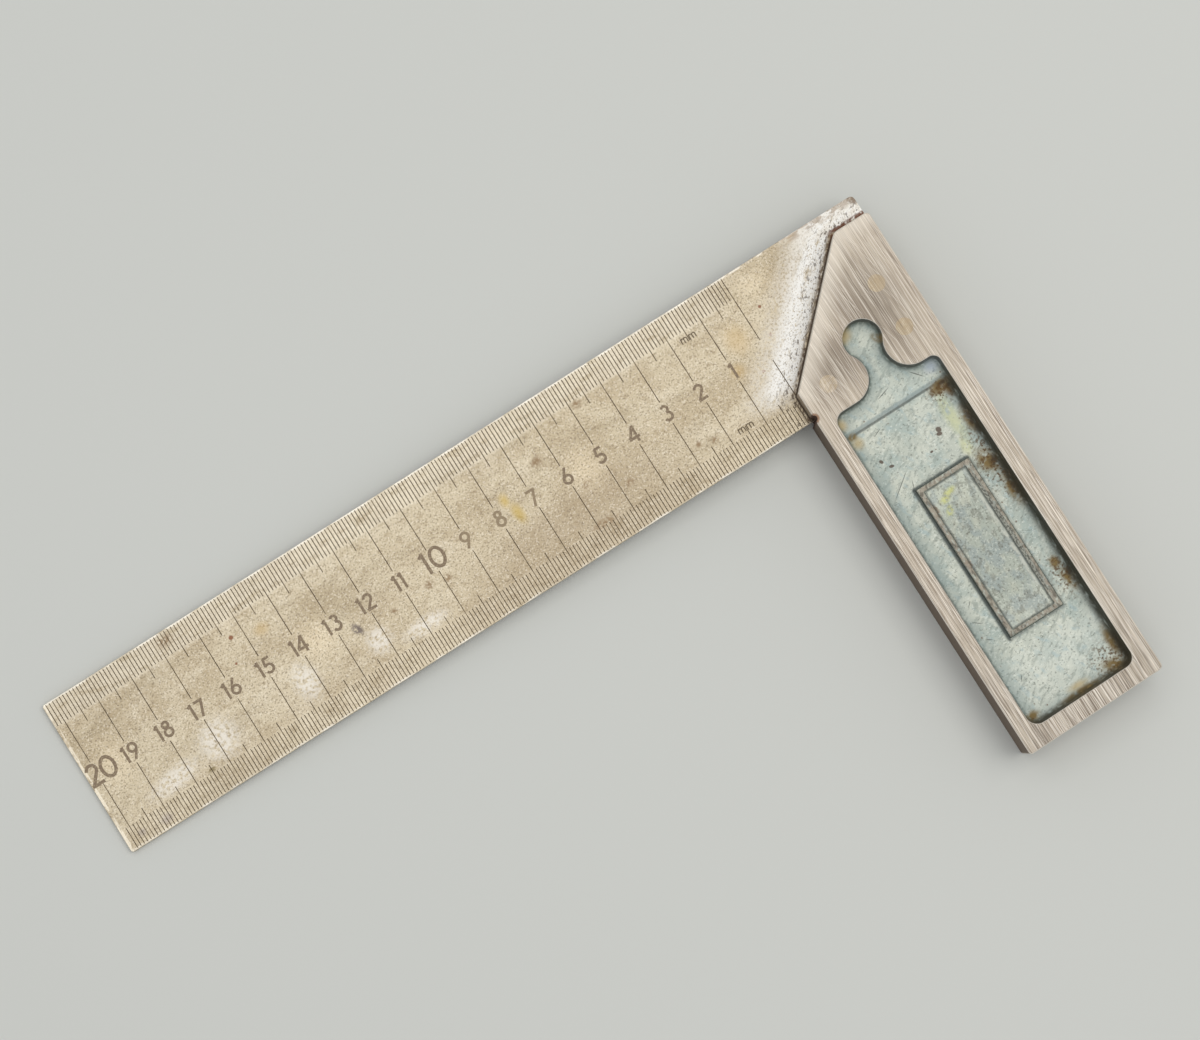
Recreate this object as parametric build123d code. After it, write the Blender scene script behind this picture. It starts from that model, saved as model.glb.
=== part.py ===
from build123d import *

import math
import os

os.makedirs("parts", exist_ok=True)

# A try-and-mitre square lying on its broad side. The origin is the inside corner, where the blade's
# inner edge meets the stock's working face, in the plane it lies on. +X runs along the blade to its
# tip, +Y down the stock, and +Z up out of the face that carries the figures.

# Blade: a ground steel rule
blade_thickness = 1.6
blade_width = 43.5
scale_length = 200.0
tip_margin = 2.9
tip_corner_radius = 0.5
heel_corner_radius = 1.0

# Graduations, cut as V grooves in the upper face
groove_width = 0.22
groove_depth = 0.1
groove_edge_margin = 0.3
millimetre_mark_outer = 6.4
millimetre_mark_inner = 6.1
half_mark_outer = 9.3
half_mark_inner = 8.3
figure_gap = 6.2
figure_gap_centre = 21.8
overrun_outer = 2
overrun_inner = 1

# Stock: one iron casting with ground faces
stock_thickness = 16.0
stock_width = 39.8
stock_leg = 99.5
toe_angle = 0.9
mitre_angle = 45.0
mitre_foot = 7.5
blade_proud = 6.4
nose_corner_radius = 2.4
heel_edge_radius = 1.2
toe_outer_radius = 1.3
toe_inner_radius = 0.9
edge_break = 0.25
slot_clearance = 0.05
relief_hole_diameter = 1.7

# Recess in each broad side, with the outline of a bell under a ball
side_wall_inner = 4.1
side_wall_outer = 4.9
toe_wall = 5.1
shoulder_offset = 2.2
shoulder_inner = 7.2
shoulder_outer = 4.0
shoulder_radius_inner = 3.0
shoulder_radius_outer = 2.2
toe_recess_radius_inner = 3.2
toe_recess_radius_outer = 2.8
neck_width = 6.6
ball_radius = 5.1
recess_depth = 4.6
head_recess_depth = 3.9
floor_step_offset = 7.1
draft_angle = 5.0
floor_fillet = 1.4
rim_break = 0.15

# Raised plate on the floor of the upper recess, cast with the stock
plate_length = 43.9
plate_width = 15.4
plate_shift = 0.3
plate_height = 1.2
plate_rim_width = 1.2
plate_field_depth = 0.4
plate_draft = 12.0

# Rivets, swollen to fill their holes and ground flush
rivet_diameter = 4.5
outer_rivet_margin = 8.1
nose_rivet_margin = 16.6
heel_rivet_offset = 7.5
corner_rivet_x = -7.75
corner_rivet_y = -5.5

# Places that follow from the sizes above
nose_y = blade_proud - blade_width
mitre_run = (-mitre_foot - nose_y) / math.tan(math.radians(mitre_angle))
blade_bottom = (stock_thickness - blade_thickness) / 2
blade_top = blade_bottom + blade_thickness
blade_tip = scale_length + tip_margin
outer_rivet_x = outer_rivet_margin - stock_width
outer_recess_x = side_wall_outer - stock_width
recess_width = -side_wall_inner - outer_recess_x
recess_middle = (outer_recess_x - side_wall_inner) / 2
neck_flare_radius = (recess_width - shoulder_inner - shoulder_outer - neck_width) / 2
neck_x = outer_recess_x + shoulder_outer + neck_flare_radius + neck_width / 2


def toe_y(x):
    """The toe slopes, so that it is shorter at the outer edge: its Y at a given X."""
    return stock_leg + x * math.tan(math.radians(toe_angle))


def round_corner(face, point, radius):
    """The face with the corner nearest to the point rounded."""
    return fillet(face.vertices().sort_by_distance(point)[0], radius)


def stock_outline():
    """Plan of the stock: working face, mitre, nose, outer edge and sloping toe."""
    foot = (0, -mitre_foot)
    nose = (-mitre_run, nose_y)
    heel = (-stock_width, nose_y)
    toe_outer = (-stock_width, toe_y(-stock_width))
    toe_inner = (0, toe_y(0))
    face = make_face(Polyline(foot, nose, heel, toe_outer, toe_inner, close=True))
    face = round_corner(face, nose, nose_corner_radius)
    face = round_corner(face, heel, heel_edge_radius)
    face = round_corner(face, toe_outer, toe_outer_radius)
    return round_corner(face, toe_inner, toe_inner_radius)


def recess_outline():
    """Plan of the recess: a ball on a flaring neck on a long body.

    The flares take up the width that the shoulders and the neck leave. Each one is an arc that leaves
    the shoulder in line and touches the ball from outside, which sets the ball's centre.
    """
    reach = neck_width / 2 + neck_flare_radius
    flare_y = shoulder_offset - neck_flare_radius
    ball_y = flare_y - math.sqrt((ball_radius + neck_flare_radius) ** 2 - reach**2)
    touch = ball_radius / (ball_radius + neck_flare_radius)

    def flare(side):
        """One flare, from the shoulder to the ball, on the side of +X or -X."""
        centre_x = neck_x + side * reach
        shoulder_end = (centre_x, shoulder_offset)
        waist = (centre_x - side * neck_flare_radius, flare_y)
        on_ball = (neck_x + side * reach * touch, ball_y + (flare_y - ball_y) * touch)
        return shoulder_end, waist, on_ball

    inner_shoulder, inner_waist, inner_touch = flare(1)
    outer_shoulder, outer_waist, outer_touch = flare(-1)
    inner_corner = (-side_wall_inner, shoulder_offset)
    outer_corner = (outer_recess_x, shoulder_offset)
    outer_toe = (outer_recess_x, toe_y(outer_recess_x) - toe_wall)
    inner_toe = (-side_wall_inner, toe_y(-side_wall_inner) - toe_wall)
    outline = (
        ThreePointArc(inner_shoulder, inner_waist, inner_touch)
        + ThreePointArc(inner_touch, (neck_x, ball_y - ball_radius), outer_touch)
        + ThreePointArc(outer_touch, outer_waist, outer_shoulder)
        + Polyline(outer_shoulder, outer_corner, outer_toe, inner_toe, inner_corner, inner_shoulder)
    )
    face = make_face(outline)
    face = round_corner(face, inner_corner, shoulder_radius_inner)
    face = round_corner(face, outer_corner, shoulder_radius_outer)
    face = round_corner(face, outer_toe, toe_recess_radius_outer)
    return round_corner(face, inner_toe, toe_recess_radius_inner)


def sunk(face, depth):
    """The space of a cast recess below the stock's upper face, with drafted walls."""
    space = extrude(Pos(0, 0, stock_thickness) * face, amount=depth, dir=(0, 0, -1))
    walls = space.faces().filter_by(Axis.Z, reverse=True)
    return draft(walls, Plane.XY.offset(stock_thickness), -draft_angle)


def with_round_foot(space):
    """The space with its walls running into its floor by a fillet."""
    floor = space.faces().sort_by(Axis.Z)[0]
    return fillet(floor.edges(), floor_fillet)


def recess_body_outline():
    """The deeper part of the recess, from the step in its floor to the toe."""
    head = Rectangle(stock_width, 2 * (floor_step_offset - nose_y))
    return recess_outline() - Pos(recess_middle, nose_y) * head


def recessed(body):
    """The body with a recess in each broad side, shallower in the head than further down.

    The upper one, which is the side on show, has a rounded foot and a rim broken by grinding.
    """
    head = sunk(recess_outline(), head_recess_depth)
    main = sunk(recess_body_outline(), recess_depth)
    body = body - with_round_foot(head) - with_round_foot(main)
    rim = body.faces().sort_by(Axis.Z)[-1].inner_wires()[0]
    body = chamfer(rim.edges(), rim_break)
    return body - mirror(head + main, about=Plane.XY.offset(stock_thickness / 2))


def plate():
    """The raised plate, in the middle of the floor: a rim round a lower field, with drafted sides."""
    x = recess_middle - plate_shift
    y = (floor_step_offset + toe_y(x) - toe_wall) / 2
    foot = Pos(x, y, stock_thickness - recess_depth)
    top = foot * Pos(0, 0, plate_height)
    raised = extrude(foot * Rectangle(plate_width, plate_length), amount=plate_height, taper=plate_draft)
    inner = Rectangle(plate_width - 2 * plate_rim_width, plate_length - 2 * plate_rim_width)
    return raised - extrude(top * inner, amount=plate_field_depth, dir=(0, 0, -1))


def rivets():
    """Each rivet in its place, by name."""
    places = {
        "rivet_nose": (outer_rivet_x, nose_y + nose_rivet_margin),
        "rivet_heel": (outer_rivet_x, -heel_rivet_offset),
        "rivet_corner": (corner_rivet_x, corner_rivet_y),
    }
    pin = Cylinder(rivet_diameter / 2, stock_thickness, align=(Align.CENTER, Align.CENTER, Align.MIN))
    return {name: Pos(x, y) * pin for name, (x, y) in places.items()}


def slot():
    """The slot that holds the blade, open at the nose, the mitre and the outer edge."""
    gap = blade_thickness + 2 * slot_clearance
    length = stock_width + blade_width
    return Box(2 * length, length, gap, align=(Align.CENTER, Align.MAX, Align.CENTER))


def stock():
    """The iron casting, machined, slotted, drilled and relieved in its inside corner."""
    body = extrude(stock_outline(), amount=stock_thickness)
    rims = body.edges().group_by(Axis.Z)
    body = chamfer(rims[0] + rims[-1], edge_break)
    body = recessed(body) + plate()
    body = body - Pos(0, 0, stock_thickness / 2) * slot()
    relief = Cylinder(relief_hole_diameter / 2, stock_thickness, align=(Align.CENTER, Align.CENTER, Align.MIN))
    return body - relief - list(rivets().values())


def blade_outline():
    """Plan of the rule, with its heel in line with the stock's outer edge."""
    length = blade_tip + stock_width
    face = Rectangle(length, blade_width, align=(Align.MIN, Align.MAX))
    face = Pos(-stock_width, 0) * face
    face = round_corner(face, (blade_tip, 0), tip_corner_radius)
    face = round_corner(face, (blade_tip, -blade_width), tip_corner_radius)
    return round_corner(face, (-stock_width, -blade_width), heel_corner_radius)


def groove(x, y_from, y_to):
    """One mark: a V groove along Y in the blade's upper face."""
    section = Polyline(
        (x - groove_width, blade_top + groove_depth),
        (x + groove_width, blade_top + groove_depth),
        (x, blade_top - groove_depth),
        close=True,
    )
    return Pos(0, y_from, 0) * extrude(make_face(Plane.XZ * section), amount=y_to - y_from, dir=(0, 1, 0))


def graduations():
    """The marks of both edges.

    A mark starts just inside its edge, and each tenth one runs on across the blade as far as the gap
    for the figures. The dividing ran on past the last figured line, by two marks and by one.
    """
    outer_edge = groove_edge_margin - blade_width
    outer_gap = -figure_gap_centre - figure_gap / 2
    inner_gap = -figure_gap_centre + figure_gap / 2
    marks = []
    for x in range(int(scale_length) + overrun_outer + 1):
        reach = half_mark_outer if x % 5 == 0 else millimetre_mark_outer
        marks.append(groove(x, outer_edge, outer_gap if x % 10 == 0 else reach - blade_width))
    for x in range(int(scale_length) + overrun_inner + 1):
        reach = half_mark_inner if x % 5 == 0 else millimetre_mark_inner
        marks.append(groove(x, inner_gap if x % 10 == 0 else -reach, -groove_edge_margin))
    return marks


def blade():
    """The rule, drilled for the rivets and graduated along both edges."""
    body = Pos(0, 0, blade_bottom) * extrude(blade_outline(), amount=blade_thickness)
    return body - list(rivets().values()) - graduations()


pieces = {"stock": stock(), "blade": blade(), **rivets()}
for name, solid in pieces.items():
    export_step(solid, f"parts/{name}.step")
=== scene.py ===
"""The looks of a try-and-mitre square: an engraved steel rule riveted into a painted iron stock."""
import logging
import math
from dataclasses import dataclass, field
from enum import Enum

import bmesh
import bpy
import numpy as np
from mathutils import Matrix, Vector, geometry


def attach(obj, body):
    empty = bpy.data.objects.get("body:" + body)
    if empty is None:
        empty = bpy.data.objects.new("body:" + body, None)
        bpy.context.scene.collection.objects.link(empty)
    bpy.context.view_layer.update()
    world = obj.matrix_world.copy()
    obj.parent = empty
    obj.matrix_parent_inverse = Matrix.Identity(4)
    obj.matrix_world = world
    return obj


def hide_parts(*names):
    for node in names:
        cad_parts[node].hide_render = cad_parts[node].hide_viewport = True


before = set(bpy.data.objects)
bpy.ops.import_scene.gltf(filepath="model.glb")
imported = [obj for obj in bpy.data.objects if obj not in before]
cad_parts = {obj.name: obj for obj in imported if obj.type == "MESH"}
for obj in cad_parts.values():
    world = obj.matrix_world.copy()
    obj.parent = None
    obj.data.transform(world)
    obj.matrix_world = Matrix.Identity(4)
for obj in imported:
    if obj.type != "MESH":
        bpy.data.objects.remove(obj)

MM = 0.001
LOG = logging.getLogger("square")
Socket = bpy.types.NodeSocket
Tree = bpy.types.NodeTree
Point = tuple[float, float]
Triple = tuple[float, float, float]
Oval = tuple[float, float, float, float, float]
UP = (0, 0, 1)

# How far one seed moves a noise along each axis, in features
SEED_SHIFT = (7.3, 3.1, 5.7)

# A length that reaches through the whole square, in millimetres
FAR = 1e6

# What the dividing of the rule goes by, in millimetres
HALF_CENTIMETRE = 5
CENTIMETRE = 10

# The stock's edges that the rule runs out from: the mitre's foot and the nose, in millimetres
MITRE_FOOT = 7.5
NOSE = 37.1


class Side(Enum):
    """A broad side of the square: the one on show, with the figures, or the one it lies on."""

    UPPER = 1
    LOWER = -1


class Ink(Enum):
    """What a patch of the rule is, by its material slot: BACK is its edges, holes and lower face."""

    FACE = 0
    MARK = 1
    FIGURE = 2
    BACK = 3


def linear(code: str) -> tuple[float, float, float, float]:
    """Turns an sRGB colour into the linear one that shaders take.

    A share up to 0.04045 is divided by 12.92. To a larger one 0.055 is added, and the sum over 1.055
    is raised to the power 2.4.

    Args:
        code: The colour as six hex digits.

    Returns:
        Linear red, green and blue, and full opacity.
    """
    shares = [int(code[i : i + 2], 16) / 255 for i in (0, 2, 4)]
    red, green, blue = (s / 12.92 if s <= 0.04045 else ((s + 0.055) / 1.055) ** 2.4 for s in shares)
    return red, green, blue, 1.0


def add_node(tree: Tree, kind: str, inputs: dict | None = None, **settings: object) -> bpy.types.Node:
    """Adds one node with its settings and links.

    Args:
        tree: The node tree.
        kind: The node's type, without the word ShaderNode.
        inputs: For each input, by name or number, a value or the output socket to link.
        settings: The node's own properties.

    Returns:
        The node.
    """
    node = tree.nodes.new("ShaderNode" + kind)
    for name, value in settings.items():
        setattr(node, name, value)
    for key, value in (inputs or {}).items():
        if isinstance(value, Socket):
            tree.links.new(value, node.inputs[key])
        else:
            node.inputs[key].default_value = value
    return node


def ramp(tree: Tree, value: Socket, start: float, end: float) -> Socket:
    """Adds a smooth rise from 0 to 1 as a value goes from start to end, which may be the lower one."""
    ends = {"Value": value, "From Min": start, "From Max": end}
    return add_node(tree, "MapRange", ends, interpolation_type="SMOOTHSTEP").outputs[0]


@dataclass(frozen=True)
class Grain:
    """Noise: the size of its features along each axis in millimetres, cut to 0 at low and 1 at high."""

    size: Triple
    low: float = 0.4
    high: float = 0.6
    detail: float = 2.0
    seed: float = 0.0
    turn: float = 0.0

    def mask(self, tree: Tree, place: Socket) -> Socket:
        """Adds the noise, with its features turned about Z.

        Args:
            tree: The material's nodes.
            place: The place in millimetres.

        Returns:
            The pattern, from 0 to 1.
        """
        turned = {0: place, "Rotation": (0, 0, math.radians(self.turn)), "Scale": self.size}
        turned["Location"] = tuple(self.seed * far * size for far, size in zip(SEED_SHIFT, self.size))
        scaled = add_node(tree, "Mapping", turned, vector_type="TEXTURE").outputs[0]
        noise = add_node(tree, "TexNoise", {"Vector": scaled, "Scale": 1.0, "Detail": self.detail})
        return ramp(tree, noise.outputs[0], self.low, self.high)


@dataclass(frozen=True)
class Pits:
    """Round pits or specks scattered at random: their spacing, radius and the share of cells with one."""

    spacing: float
    radius: float
    share: float = 0.3
    seed: float = 0.0
    core: float = 0.4

    def mask(self, tree: Tree, place: Socket) -> Socket:
        """Adds one round speck near the middle of each chosen cell of a random division of space.

        Args:
            tree: The material's nodes.
            place: The place in millimetres.

        Returns:
            The pattern, from 0 to 1.
        """
        moved = {0: place, "Location": (self.seed, self.seed, 0), "Scale": (self.spacing,) * 3}
        scaled = add_node(tree, "Mapping", moved, vector_type="TEXTURE").outputs[0]
        cells = add_node(tree, "TexVoronoi", {"Vector": scaled, "Scale": 1.0})
        rim = self.radius / self.spacing
        reach = ramp(tree, cells.outputs["Distance"], rim, self.core * rim)
        chance = add_node(tree, "SeparateColor", {0: cells.outputs["Color"]}).outputs[0]
        chosen = add_node(tree, "Math", {0: chance, 1: self.share}, operation="LESS_THAN").outputs[0]
        return add_node(tree, "Math", {0: reach, 1: chosen}, operation="MULTIPLY").outputs[0]


@dataclass(frozen=True)
class Spots:
    """Oval stains, each by its middle, half-lengths and turn in degrees; soft is how far they fade in."""

    ovals: tuple[Oval, ...]
    soft: float = 0.5

    def mask(self, tree: Tree, place: Socket) -> Socket:
        """Adds the ovals, 1 in the middle of each and 0 outside them all.

        Args:
            tree: The material's nodes.
            place: The place in millimetres.

        Returns:
            The pattern, from 0 to 1.
        """
        total = None
        for x, y, half_x, half_y, turn in self.ovals:
            oval = {0: place, "Location": (x, y, 0), "Rotation": (0, 0, math.radians(turn))}
            oval["Scale"] = (half_x, half_y, FAR)
            centred = add_node(tree, "Mapping", oval, vector_type="TEXTURE").outputs[0]
            reach = add_node(tree, "VectorMath", {0: centred}, operation="LENGTH").outputs["Value"]
            spot = ramp(tree, reach, 1.0, 1.0 - self.soft)
            if total is not None:
                spot = add_node(tree, "Math", {0: total, 1: spot}, operation="MAXIMUM").outputs[0]
            total = spot
        return total


@dataclass(frozen=True)
class Step:
    """A change along a direction: 0 where the place lies before start, 1 where it lies past end."""

    direction: Triple
    start: float
    end: float

    def mask(self, tree: Tree, place: Socket) -> Socket:
        """Adds the step."""
        along = add_node(tree, "VectorMath", {0: place, 1: self.direction}, operation="DOT_PRODUCT")
        return ramp(tree, along.outputs["Value"], self.start, self.end)


@dataclass(frozen=True)
class Beside:
    """How far the rule's face lies from the stock's edge, in millimetres: 0 at start, 1 at end.

    The distance is the largest of those past the working face, the mitre and the nose.
    """

    start: float
    end: float
    lines: tuple[tuple[Triple, float], ...] = (
        ((1, 0, 0), 0.0),
        ((math.sqrt(0.5), -math.sqrt(0.5), 0), MITRE_FOOT * math.sqrt(0.5)),
        ((0, -1, 0), NOSE),
    )

    def mask(self, tree: Tree, place: Socket) -> Socket:
        """Adds the distance, cut between its two ends.

        Args:
            tree: The material's nodes.
            place: The place in millimetres.

        Returns:
            The pattern, from 0 to 1.
        """
        largest = -FAR
        for direction, line in self.lines:
            along = add_node(tree, "VectorMath", {0: place, 1: direction}, operation="DOT_PRODUCT")
            reach = {0: along.outputs["Value"], 1: line}
            past = add_node(tree, "Math", reach, operation="SUBTRACT").outputs[0]
            largest = add_node(tree, "Math", {0: past, 1: largest}, operation="MAXIMUM").outputs[0]
        return ramp(tree, largest, self.start, self.end)


@dataclass(frozen=True)
class Layer:
    """A number kept at the mesh's points: 0 where it is at start, 1 where it is at end."""

    name: str
    start: float
    end: float

    def mask(self, tree: Tree, place: Socket) -> Socket:
        """Adds the attribute, cut between its two ends; it needs no place."""
        kept = add_node(tree, "Attribute", attribute_name=self.name)
        return ramp(tree, kept.outputs["Fac"], self.start, self.end)


Mask = Grain | Pits | Spots | Step | Beside | Layer


@dataclass(frozen=True)
class Coat:
    """One layer over those before it, where all of its masks are: its colour, and what else it changes."""

    colour: str
    masks: tuple[Mask, ...]
    strength: float = 1.0
    roughness: float | None = None
    metallic: float | None = None
    height: float = 0.0

    def share(self, tree: Tree, place: Socket) -> Socket:
        """Adds the product of its masks and its strength.

        Args:
            tree: The material's nodes.
            place: The place in millimetres.

        Returns:
            The product.
        """
        total = self.strength
        for mask in self.masks:
            factors = {0: total, 1: mask.mask(tree, place)}
            total = add_node(tree, "Math", factors, operation="MULTIPLY").outputs[0]
        return total


@dataclass(frozen=True)
class Finish:
    """A material: its lowest colour and shine, and the coats over it, in order."""

    name: str
    colour: str
    roughness: float
    metallic: float
    coats: tuple[Coat, ...] = ()

    def material(self) -> bpy.types.Material:
        """Makes the material, with a pattern in millimetres from the object's own coordinates.

        Each coat moves the colour, roughness and metal towards its own by its share, and the heights
        of all coats add up to one relief.

        Returns:
            The material.
        """
        material = bpy.data.materials.new(self.name)
        material.use_nodes = True
        tree = material.node_tree
        shader = tree.nodes["Principled BSDF"]
        shader.inputs["Roughness"].default_value = self.roughness
        shader.inputs["Metallic"].default_value = self.metallic
        shader.inputs["Base Color"].default_value = linear(self.colour)
        if not self.coats:
            return material
        metres = add_node(tree, "TexCoord").outputs["Object"]
        place = add_node(tree, "VectorMath", {0: metres, "Scale": 1 / MM}, operation="SCALE").outputs[0]
        colour, roughness, metallic, height = linear(self.colour), self.roughness, self.metallic, 0.0
        # The Mix node's inputs 6 and 7 are its two colours, and 2 and 3 its two numbers
        for coat in self.coats:
            share = coat.share(tree, place)
            mixed = {0: share, 6: colour, 7: linear(coat.colour)}
            colour = add_node(tree, "Mix", mixed, data_type="RGBA").outputs[2]
            if coat.roughness is not None:
                roughness = add_node(tree, "Mix", {0: share, 2: roughness, 3: coat.roughness}).outputs[0]
            if coat.metallic is not None:
                metallic = add_node(tree, "Mix", {0: share, 2: metallic, 3: coat.metallic}).outputs[0]
            if coat.height:
                raised = {0: share, 1: coat.height, 2: height}
                height = add_node(tree, "Math", raised, operation="MULTIPLY_ADD").outputs[0]
        tree.links.new(colour, shader.inputs["Base Color"])
        for name, value in {"Roughness": roughness, "Metallic": metallic}.items():
            if isinstance(value, Socket):
                tree.links.new(value, shader.inputs[name])
        if isinstance(height, Socket):
            relief = add_node(tree, "Bump", {"Height": height, "Distance": MM, "Strength": 1.0})
            tree.links.new(relief.outputs[0], shader.inputs["Normal"])
        return material


# Where the rule's patina has gone, by middle, half-lengths and turn
PALE_PATCHES = (
    (169.5, -12.5, 8, 8, 20), (143, -13, 5, 7.5, 0), (184, -10, 11, 4, 8), (110, -9, 9, 3, 0),
    (122, -12, 5, 5, 0),
)

# Where the patina is darkest
BROWN_PATCHES = (
    (104, -17, 2.2, 1.8, 0), (99, -16, 1.8, 1.6, 0), (56.6, -17.2, 1.8, 1.5, 0),
    (47.4, -11.8, 1.8, 1.4, 0), (27.4, -10.6, 1.4, 1.2, 0), (23.3, -9.3, 1.6, 1.4, 0),
    (115, -16, 1.6, 1.4, 0), (64.5, -29, 3.0, 2.0, 20), (48, -36, 2.0, 2.0, 0), (58, -6.5, 6.0, 2.0, 0),
    (168, -41, 3.5, 2.2, 0),
)

# Single specks of red rust
RUST_DOTS = (
    (153.4, -32.6, 0.75, 0.75, 0), (155.7, -26.3, 0.4, 0.4, 0), (3.5, -17.5, 0.6, 0.5, 0),
    (-4.5, -32, 0.5, 0.5, 0), (-3, -24.5, 0.5, 0.5, 0),
)


@dataclass(frozen=True)
class SteelRule(Finish):
    """Ground spring steel with the brown patina of long handling, and pale corrosion by the stock.

    It gives a soft satin sheen, a tan and brown mottle, and a light speckle where the patina has gone.
    """

    name: str = "Aged ground spring steel"
    colour: str = "c4b69b"
    roughness: float = 0.42
    metallic: float = 0.5
    coats: tuple[Coat, ...] = (
        Coat("a89678", (Grain((18, 12, 9), 0.42, 0.62, 3.0, 1),), 0.5),
        Coat("d4c8b0", (Grain((10, 7, 9), 0.5, 0.64, 3.0, 2),), 0.4),
        Coat("968669", (Grain((30, 7, 9), 0.5, 0.66, 4.0, 62),), 0.35),
        Coat("9a8768", (Grain((2.4, 2.0, 9), 0.54, 0.68, 3.0, 3),), 0.4),
        Coat("a18f74", (Spots(((62, -12, 44, 10, 0), (66, -4, 56, 7, 0)), 0.8),), 0.6),
        Coat(
            "e2d1b2",
            (
                Spots(
                    ((55, -21, 7, 9, 0), (135, -21, 8, 9, 0), (195, -22, 8, 10, 0), (-6, -38, 9, 5, 0)),
                    1.0,
                ),
            ),
            0.45,
        ),
        Coat("766650", (Grain((0.45, 0.45, 9), 0.5, 0.66, 4.0, 4),), 0.65, height=-0.006),
        Coat("6f5f4c", (Grain((0.9, 0.8, 9), 0.62, 0.72, 3.0, 50),), 0.5),
        Coat("ebe1ce", (Grain((0.4, 0.4, 9), 0.53, 0.68, 3.0, 5),), 0.45),
        Coat(
            "e6dcc8",
            (Step((0, -1, 0), 36.0, 37.4), Step((1, 0, 0), 0, 8), Grain((6, 2, 9), 0.3, 0.5, 4.0, 63)),
            0.4,
        ),
        Coat("e0d3ba", (Step((0, 1, 0), -7.0, -5.8), Grain((6, 2, 9), 0.34, 0.54, 4.0, 64)), 0.25),
        # Painted highlights along the outer edge, the lower edge and the tip's end, partly edges worn
        # bright
        Coat("f5efe3", (Step((0, -1, 0), 42.8, 43.2), Grain((5, 1, 9), 0.4, 0.56, 2.0, 6)), 0.6, 0.35),
        Coat("f8f3e9", (Step((0, 1, 0), -0.7, -0.3), Grain((7, 1, 9), 0.44, 0.6, 2.0, 7)), 0.45, 0.35),
        Coat("f0e6d2", (Step((1, 0, 0), 201.9, 202.2), Grain((1, 5, 9), 0.36, 0.5, 2.0, 51)), 0.6, 0.35),
        Coat("dcd5c9", (Spots(PALE_PATCHES, 0.8), Grain((0.8, 0.8, 9), 0.34, 0.58, 5.0, 8)), 0.85),
        Coat("8a7356", (Spots(BROWN_PATCHES, 0.9), Grain((0.8, 0.8, 9), 0.36, 0.56, 5.0, 9)), 0.95),
        Coat("bda150", (Spots(((75.2, -20.5, 2.4, 4.6, 8), (76.6, -24.8, 2.0, 3.2, 0)), 1.0),), 0.7),
        Coat(
            "9c8238",
            (Spots(((75.4, -19.3, 1.1, 2.2, 8),), 0.9), Grain((0.7, 0.7, 9), 0.36, 0.56, 4.0, 59)),
            0.6,
        ),
        Coat(
            "b99c68",
            (Spots(((145.7, -30.4, 3.2, 2.6, 0), (5, -28, 5, 6, 0), (9, -21, 3, 3, 0)), 0.9),),
            0.5,
        ),
        Coat(
            "5f5350",
            (Spots(((125.2, -17.2, 1.6, 2.6, 25),), 0.7), Grain((0.9, 0.9, 9), 0.3, 0.5, 3.0, 10)),
            0.85,
        ),
        Coat("8f5536", (Spots(RUST_DOTS),), 0.85, 0.8, 0.0),
        Coat(
            "75663f",
            (Spots(((175, -7, 1.6, 1.2, 0),), 0.8), Grain((0.6, 0.6, 9), 0.36, 0.52, 3.0, 11)),
            0.8,
        ),
        Coat("6b6070", (Spots(((191, -2.6, 2.6, 2.0, 0), (198, -3, 1.6, 1.6, 0)), 0.9),), 0.35),
        Coat(
            "e9e1d3",
            (
                Beside(15.0, 6.0),
                Step((0, -1, 0), 5.0, 12.0),
                Grain((5, 3, 9), 0.34, 0.52, 5.0, 12, 45),
                Grain((0.6, 0.6, 9), 0.36, 0.54, 4.0, 54),
            ),
            1.0, 0.6, 0.1,
        ),
        Coat(
            "fffdf8",
            (
                Beside(10.0, 5.0),
                Beside(0.6, 1.6),
                Step((0, -1, 0), 6.5, 13.0),
                Grain((5, 1.4, 9), 0.26, 0.46, 5.0, 55, 45),
                Grain((0.5, 0.5, 9), 0.3, 0.48, 4.0, 77),
            ),
            1.0, 0.6, 0.0,
        ),
        Coat(
            "f3ede2",
            (
                Step((0, -1, 0), 38.0, 38.8),
                Step((-1, 0, 0), 15.0, 24.0),
                Grain((5, 1.0, 9), 0.34, 0.6, 5.0, 13),
            ),
            0.75, 0.6, 0.1,
        ),
        Coat(
            "9c8264",
            (Step((0, -1, 0), 41.0, 42.5), Step((-1, 0, 0), 10, 22), Grain((2, 1, 9), 0.4, 0.6, 4.0, 52)),
            0.6,
        ),
        Coat(
            "8f7f68",
            (Beside(13.0, 3.0), Grain((0.6, 0.35, 9), 0.54, 0.68, 5.0, 14, 45)),
            0.6, 0.7, 0.1, -0.01,
        ),
        Coat(
            "4e3c2c",
            (Beside(8.5, 1.0), Grain((1.1, 0.6, 9), 0.57, 0.64, 5.0, 15, 45)),
            0.8, 0.8, 0.0, -0.02,
        ),
        Coat(
            "6a543e",
            (Beside(1.7, 0.5), Grain((1.6, 0.5, 9), 0.38, 0.56, 3.0, 16, 45)),
            0.75, 0.8, 0.0, -0.02,
        ),
        # Painted shade, partly dirt, in the corner where the rule meets the stock's edges
        Coat("3f3024", (Beside(0.55, 0.25),), 0.85, 0.9, 0.0),
        Coat(
            "6b4029",
            (
                Step((0, -1, 0), 39.1, 38.5),
                Step((-1, 0, 0), 27.5, 31.0),
                Grain((1.2, 1.2, 9), 0.36, 0.5, 3.0, 17),
            ),
            0.9, 0.9, 0.0,
        ),
        Coat(
            "7b6650",
            (Spots(((-39.6, -43.3, 2.0, 2.6, -20),), 0.4), Grain((0.7, 0.7, 9), 0.3, 0.5, 3.0, 18)),
            0.8,
        ),
    )


@dataclass(frozen=True)
class RuleMark(Finish):
    """The cut of a dividing mark: steel darkened by dirt, worn pale here and there."""

    name: str = "Darkened steel of the marks"
    colour: str = "635440"
    roughness: float = 0.7
    metallic: float = 0.2
    coats: tuple[Coat, ...] = (Coat("9a8b72", (Grain((2.0, 2.5, 9), 0.5, 0.66, 2.0, 19),), 0.7),)


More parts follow.
